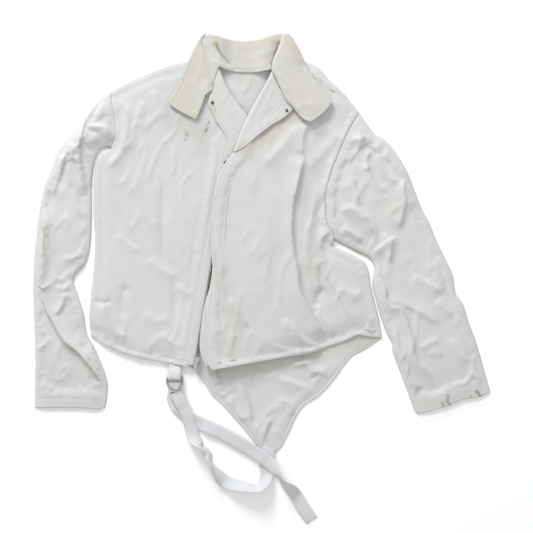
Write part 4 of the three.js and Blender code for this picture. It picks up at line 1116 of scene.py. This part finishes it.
right_lapel_rows = [beside(through(RIGHT_LAPEL_EDGE), -5)[2:-2]]
left_lapel_rows = [beside(through(LEFT_LAPEL_EDGE), 5)[3:-2], beside(through(LEFT_LAPEL_EDGE), 19)[8:-5],
                   beside(through(LEFT_LAPEL_EDGE), 25)[12:-9], through([(27, 388), (36, 368), (50, 344)])]
right_lapel, right_lapel_top, right_lapel_cut = turned_ply(
    "right_lapel_facing", right_lapel_ring, right_lapel_lies, 0.9, facing, right_lapel_rows,
    [([(-80, 392), (-74, 360), (-62, 330), (-46, 300)], 1.2, 3, 9)], [([(-95, 332), (-90, 316)], 5, 0.3)])
left_lapel, left_lapel_top, left_lapel_cut = turned_ply(
    "left_lapel_facing", left_lapel_ring, left_lapel_lies, 0.9, facing, left_lapel_rows,
    [([(16, 380), (-4, 338), (-24, 296)], 0.9, 3, 9), ([(24, 366), (14, 340), (4, 310)], 0.7, 3, 8)],
    [([(-48, 244), (-36, 262)], 8, 0.25)])
for lapel, node, under, lapel_cut in ((right_lapel, "right_lapel", right_cloth, right_lapel_cut),
                                      (left_lapel, "left_lapel", left_cloth, left_lapel_cut)):
    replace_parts(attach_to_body(lapel, "jacket_body"), node)

# %% [markdown]
# ## Tapes, tubes and teeth
# Webbing is flat and stiff across, so it can only bend and twist along its length: a centre line, a roll
# angle at each point and a cross-section with rounded edges give it. A metal ring is a round section
# carried round a closed path. Both are the same idea, a section swept along a line.

# %% Sweeping a section along a line
def swept(name, line, section, finish, rolls=None, across=None, closed=False):
    """A section of (across, up) points in mm, carried along a line in space and rolled as it goes."""
    ahead = np.roll(line, -1, 0) - np.roll(line, 1, 0) if closed else np.gradient(line, axis=0)
    ahead /= np.linalg.norm(ahead, axis=1)[:, None]
    side = np.cross(ahead, [0.0, 0.0, 1.0]) if across is None else np.tile(np.array(across, float),
                                                                           (len(line), 1))
    side /= np.linalg.norm(side, axis=1)[:, None]
    up = np.cross(side, ahead)
    turn = np.radians(np.zeros(len(line)) if rolls is None else rolls)[:, None]
    side, up = side * np.cos(turn) + up * np.sin(turn), up * np.cos(turn) - side * np.sin(turn)
    count, rings = len(section), len(line)
    points = (line[:, None] + side[:, None] * section[None, :, :1] + up[:, None] * section[None, :,
                                                                                           1:]).reshape(-1, 3)
    faces = []
    for r in range(rings if closed else rings - 1):
        a, b = r * count, (r + 1) % rings * count
        faces += [(a + i, b + i, b + (i + 1) % count, a + (i + 1) % count) for i in range(count)]
    if not closed:
        faces += [tuple(range(count)), tuple(range((rings - 1) * count, rings * count))[::-1]]
    gone = np.concatenate([[0], np.cumsum(np.linalg.norm(np.diff(line, axis=0), axis=1))])
    return new_piece(name, points, faces, finish, run=np.repeat(gone, count) * MM,
                     side=np.tile(section[:, 0], rings) * MM)


def tape_section(width, thick):
    half, top = width / 2, thick / 2
    rows = np.array([half - 0.5, half * 0.6, half * 0.2, -half * 0.2, -half * 0.6, 0.5 - half])
    upper, lower = [(x, top) for x in rows], [(x, -top) for x in rows[::-1]]
    return np.array([(half, 0), *upper, (-half, 0), *lower])[::-1]


def round_section(radius, count=12):
    angles = np.arange(count) * 2 * math.pi / count
    return radius * np.column_stack([np.cos(angles), -np.sin(angles)])


# %% [markdown]
# ## The zip
# A zip is two woven tapes, each with a row of metal teeth clamped on its edge. The right half is sewn to
# the right front and holds the box and the slider. The left half hangs under the flap behind its facing.

# %% The right half
ZIP_FOOT = np.array([-136.0, -169.0])
ZIP_ACROSS, ZIP_ALONG = np.array([0.9866, -0.1632]), np.array([0.1632, 0.9866])
TOOTH_PITCH, TAPE_THICK = 2.7, 0.6


def on_zip(across, along):
    return ZIP_FOOT + np.outer(np.ones_like(along) * across, ZIP_ACROSS) + np.outer(along, ZIP_ALONG)


def teeth(name, line, heights, ahead, width=3.0, tall=2.4, finish=nickel):
    """One small clamped block at each point of the line, rounded at its ends."""
    points, faces = [], []
    ring = np.array([(-0.5, -0.3), (-0.3, -0.5), (0.3, -0.5), (0.5, -0.3), (0.5, 0.3), (0.3, 0.5),
                     (-0.3, 0.5), (-0.5, 0.3)])
    for (x, y), z, (ux, uy) in zip(line, heights, ahead):
        start = len(points)
        for along, size in ((-0.8, 0.7), (-0.5, 1.0), (0.5, 1.0), (0.8, 0.7)):
            for a, b in ring * size:
                points.append((x + ux * along - uy * a * width, y + uy * along + ux * a * width,
                               z + b * tall))
        for r in range(3):
            faces += [[start + r * 8 + i, start + r * 8 + (i + 1) % 8, start + r * 8 + 8 + (i + 1) % 8,
                       start + r * 8 + 8 + i]
                      for i in range(8)]
        faces += [[start + i for i in range(8)][::-1], [start + 24 + i for i in range(8)]]
    return new_piece(name, np.array(points), faces, finish)


along = np.arange(4, 393, 3.0)
right_tape = swept("zip_tape_right_woven", np.column_stack([on_zip(-1.0, along), np.full(len(along), 10.1)]),
                   tape_section(14, TAPE_THICK), zip_weave)
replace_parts(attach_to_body(right_tape, "jacket_body"), "zip_tape_right")
along = np.arange(9, 391, TOOTH_PITCH)
right_teeth = teeth("zip_teeth_right_row", on_zip(7.8, along), np.full(len(along), 10.2),
                    np.tile(ZIP_ALONG, (len(along), 1)))
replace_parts(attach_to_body(right_teeth, "jacket_body"), "zip_teeth_right")

# %% The left half, under the flap
HANG_FACING, HANG_TAPE, HANG_TEETH = 1.7, 2.5, 2.7
fly_line = through([(-97, -164), *FLAP_EDGE[2:-2]])
fly_line[:, 0] -= 12 * smooth((10 - fly_line[:, 1]) / 110)
lies = np.minimum(onto(fly_line + [16, 0], left_top)[:, 2], 19.0)


def under_flap(offset, drop):
    return np.column_stack([fly_line + [offset, 0], lies - drop])


fly_facing = swept("fly_facing_strip", under_flap(15, HANG_FACING), tape_section(26, 0.6), facing)
left_tape = swept("zip_tape_left_woven", under_flap(27, HANG_TAPE), tape_section(10, TAPE_THICK), zip_weave)
chain = under_flap(20.2, HANG_TEETH)
gone = np.concatenate([[0], np.cumsum(np.linalg.norm(np.diff(chain, axis=0), axis=1))])
places = np.arange(2, gone[-1] - 1, TOOTH_PITCH)
chain = np.column_stack([np.interp(places, gone, chain[:, i]) for i in range(3)])
chain_ahead = np.gradient(chain[:, :2], axis=0)
chain_ahead /= np.linalg.norm(chain_ahead, axis=1)[:, None]
left_teeth = teeth("zip_teeth_left_row", chain[:, :2], np.maximum(chain[:, 2], 16.2), chain_ahead, tall=1.6)
for piece, slot, node in ((fly_facing, "lining", "fly_facing"), (left_tape, "tape", "zip_tape_left"),
                          (left_teeth, "nickel", "zip_teeth_left")):
    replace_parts(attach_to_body(piece, "left_front_opening"), node)
print("teeth:", len(along), "right,", len(places), "left")

# %% [markdown]
# ## Hook, eye and rings
# The neck closes with a bent-wire hook and eye of blackened steel, sewn flat to the lapels. The crotch
# strap locks by doubling back through two bent-wire D-rings of nickel-plated steel, held by a webbing tab.

# %% The hook and the eye
def wire_loop(name, x, y, surface, radius, gauge, tail):
    """A ring of wire with the two ends that are sewn down, lying on the cloth."""
    z = onto([(x, y)], surface)[0, 2] + gauge + 0.1
    angles = np.radians(np.arange(-60, 241, 15))
    ring = [(x + radius * math.cos(a), y + radius * math.sin(a), z) for a in angles]
    ends = [[(x + s * radius * 0.8, y - radius - tail, z - 0.2),
             (x + s * radius * 0.5, y - radius - 0.6, z)] for s in (1, -1)]
    path = through([ends[0][0], *ring, ends[1][0]], 0.8)
    piece = swept(name, path, round_section(gauge, 8), blacked)
    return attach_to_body(piece, "jacket_body")


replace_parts(wire_loop("neck_eye_wire", -94, 334, right_lapel_top, 1.9, 0.75, 1.2), "neck_eye")
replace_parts(wire_loop("neck_hook_wire", 47, 319, left_lapel_top, 1.7, 0.75, 1.0), "neck_hook")

# %% The D-rings
RING_AT = np.array([-166.0, -188.0, 0.0])
RING_WIRE, RING_HALF, RING_SIDE = 1.6, 14.6, 8.0
LOWER_BAR, UPPER_BAR = 3.6, 8.8


def ring_path(height):
    corner = [(-RING_HALF + 2.2, 0), (-RING_HALF + 0.6, -0.6), (-RING_HALF, -2.2)]
    arc = [(RING_HALF * math.cos(a), -RING_SIDE + RING_HALF
            * math.sin(a)) for a in np.radians(np.arange(180, 361, 9))]
    flat = [(x, 0) for x in np.linspace(RING_HALF - 3.4, -RING_HALF + 3.4, 9)] + corner + [(-RING_HALF,
                                                                                            -5)] + arc
    flat += [(RING_HALF, -5)] + [(-x, y) for x, y in corner[::-1]]
    return np.column_stack([np.array(flat), np.full(len(flat), height)]) + RING_AT


for name, bar in (("ring_lower", LOWER_BAR), ("ring_upper", UPPER_BAR)):
    ring = swept(name + "_wire", ring_path(bar), round_section(RING_WIRE), nickel, closed=True)
    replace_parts(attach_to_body(ring, "ring_set"), name)

# %% [markdown]
# ## The crotch strap
# The strap is one length of 25 mm cotton webbing. It leaves the tail's point, loops round, doubles through
# the rings and runs back over itself to a free end. Where it changes direction it cannot bend sideways, so
# it twists up on its edge, and those narrow places are what make it look like webbing.

# %% The tab and the bight
STRAP_WIDE, STRAP_THICK = 25.0, 1.4


def side_path(profile, step=1.2):
    """A path from (run towards the wearer's feet, height) points."""
    return np.array([(RING_AT[0], RING_AT[1] - run, z) for run, z in through(profile, step)])


def bend(turn, low, high, out):
    middle, radius = (low + high) / 2, (high - low) / 2
    return [(turn + out * radius * math.sin(a),
             middle - radius * math.cos(a)) for a in np.radians(np.arange(0, 181, 30))]


tab_path = side_path([(-27, 2.85), (-20, 2.6), (-10, 1.5), *bend(0, 1.0, 11.4, 1), (-10, 9.8), (-20, 5.2),
                      (-27, 4.3)])
tab = swept("ring_tab_webbing", tab_path, tape_section(23, STRAP_THICK), webbing, across=(1, 0, 0))
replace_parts(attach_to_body(tab, "jacket_body"), "ring_tab")
bight_path = side_path([(28.1, 1.0), (20, 1.0), *bend(11, 1.0, 6.2, -1), (20, 6.2), (28.1, 6.2)])
bight = swept("strap_bight_webbing", bight_path, tape_section(STRAP_WIDE, STRAP_THICK), webbing,
              across=(1, 0, 0))
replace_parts(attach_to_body(bight, "ring_set"), "strap_bight")

# %% The two runs
LOWER_RUN = [(-166, -216.9, 6.2, 0), (-162, -223, 6.2, 0), (-154, -236, 5.6, 3), (-143, -258, 4.6, -3),
             (-136, -280, 3.2, 0),
             (-131, -299, 1.8, 8), (-124, -311, 1.2, 36), (-115, -321, 1.0, 86), (-105, -333, 1.0, 52),
             (-97, -350, 1.0, 86),
             (-86, -370, 1.0, 48), (-70, -387, 1.0, 12), (-46, -394, 1.0, 40), (-28, -396, 1.0, 52),
             (-8, -399, 1.0, 66),
             (4, -389, 1.0, 40), (9, -374, 1.1, 10), (8, -358, 2.0, 0), (11, -342, 2.8, 0),
             (14, -322, 2.8, 0)]
UPPER_RUN = [(-166, -216.9, 1.0, 0), (-169, -228, 1.0, 0), (-161, -245, 1.0, 5), (-146, -261, 1.0, 0),
             (-124, -274, 1.6, -4),
             (-100, -284, 3.0, 8), (-75, -296, 4.4, 0), (-32, -320, 4.9, -4), (9, -347, 4.8, 0),
             (25, -364, 3.8, -26),
             (36, -380, 2.0, -74), (49, -395, 1.4, -38), (62, -410, 1.2, -6), (78, -436, 1.0, 8),
             (95, -461, 1.0, 0)]


def strap_run(name, controls, over):
    """A run of webbing that stands on its lower edge where it rolls, and clears what it crosses."""
    table = np.array(controls, float) * [1, 1, 1, 0.1]
    line = through(table, 2.2)
    rolls = line[:, 3] * 10
    lift = np.abs(np.sin(np.radians(rolls))) * STRAP_WIDE / 2
    heights = line[:, 2] + lift
    if over is not None:
        under = np.max([onto(beside(line[:, :2], off), over, 0, 0)[:, 2] for off in (-11, -5.5, 0, 5.5,
                                                                                     11)], axis=0)
        spread = np.exp(-((np.arange(-6, 7) / 3.0) ** 2))
        under = np.convolve(np.pad(under, 6, mode="edge"), spread / spread.sum(), "valid")
        on_tail = np.hypot(line[:, 0] - 10, line[:, 1] + 330) < 60
        heights = np.where(on_tail, np.maximum(heights, under + 1.1), heights)
    path = np.column_stack([line[:, :2], heights])
    path[2:-2, 2] += 0.35 * rumple(line[2:-2, :2], 16, 7)
    piece = swept(name, path, tape_section(STRAP_WIDE, STRAP_THICK), webbing, rolls=rolls)
    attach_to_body(piece, "jacket_body")
    return piece


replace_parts(strap_run("strap_lower_webbing", LOWER_RUN, None), "strap_lower_run")
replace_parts(strap_run("strap_upper_webbing", UPPER_RUN, back_top), "strap_upper_run")

# %% [markdown]
# ## Stitching
# Every seam and hem is sewn with cotton thread in stitches about 3 mm long. Each stitch is a small raised
# bead that sits in the shallow dip its thread pulls into the cloth, laid on after the cloth has settled.

# %% Laying the stitches
STITCH, THREAD = 3.0, 0.4


def stitched(name, lines, surface, attach):
    """Rows of stitches on a surface; attach makes them move as their cloth does."""
    points, faces, marks = [], [], []
    for row in lines:
        gone = np.concatenate([[0], np.cumsum(np.hypot(*np.diff(row, axis=0).T))])
        places = np.arange(STITCH, gone[-1] - STITCH, STITCH)
        flat = np.column_stack([np.interp(places, gone, row[:, i]) for i in (0, 1)])
        if len(flat) < 2:
            continue
        laid = onto(flat, surface, 0.12)
        ahead = np.gradient(laid, axis=0)
        ahead /= np.linalg.norm(ahead, axis=1)[:, None]
        for centre, u, run in zip(laid, ahead, places):
            v = np.array([-u[1], u[0], 0])
            v /= np.linalg.norm(v)
            w = np.cross(u, v)
            i = len(points)
            points += [centre - 1.15 * u, centre + 1.15 * u, centre - THREAD * v, centre + THREAD * v,
                       centre + 0.3 * w, centre - 0.3 * w]
            faces += [(i + a, i + b, i + c) for a, b,
                      c in ((1, 3, 4), (3, 0, 4), (0, 2, 4), (2, 1, 4), (3, 1, 5), (0, 3, 5),
                                                            (2, 0, 5), (1, 2, 5))]
            marks += [run * MM] * 6
    piece = new_piece(name, np.array(points), faces, thread, run=marks, side=np.zeros(len(points)))
    print(name, len(points) // 6, "stitches")
    return attach(piece)


def stays(piece):
    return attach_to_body(piece, "jacket_body")


stitched("stitches_right_front", [*right_stitches, beside(right_shoulder, 2.5)[3:-3]], right_top, stays)
stitched("stitches_left_front", left_stitches, left_top, opens_with_flap)
stitched("stitches_right_sleeve", rs_stitches, right_sleeve_top, right_sleeve_folds)
stitched("stitches_left_sleeve", ls_stitches, left_sleeve_top, left_sleeve_folds)
stitched("stitches_tail", tail_hems, back_top, stays)
stitched("stitches_neck", neck_rows, band_top, stays)
stitched("stitches_right_lapel", right_lapel_rows, right_lapel_top, stays)
stitched("stitches_left_lapel", left_lapel_rows, left_lapel_top, stays)
stitched("stitches_right_leaf", right_rows, right_leaf_top,
         lambda piece: turns_with_leaf(piece))
stitched("stitches_left_leaf", left_rows, left_leaf_top,
         lambda piece: turns_with_leaf(piece))

# %% [markdown]
# ## Finishing
# The box, slider, pull and pin of the zip keep their modelled shapes and take the nickel finish.

# %% Kept parts and the end
for node in ("zip_box", "zip_slider", "zip_pull", "zip_pin"):
    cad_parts[node].material_slots[0].material = nickel
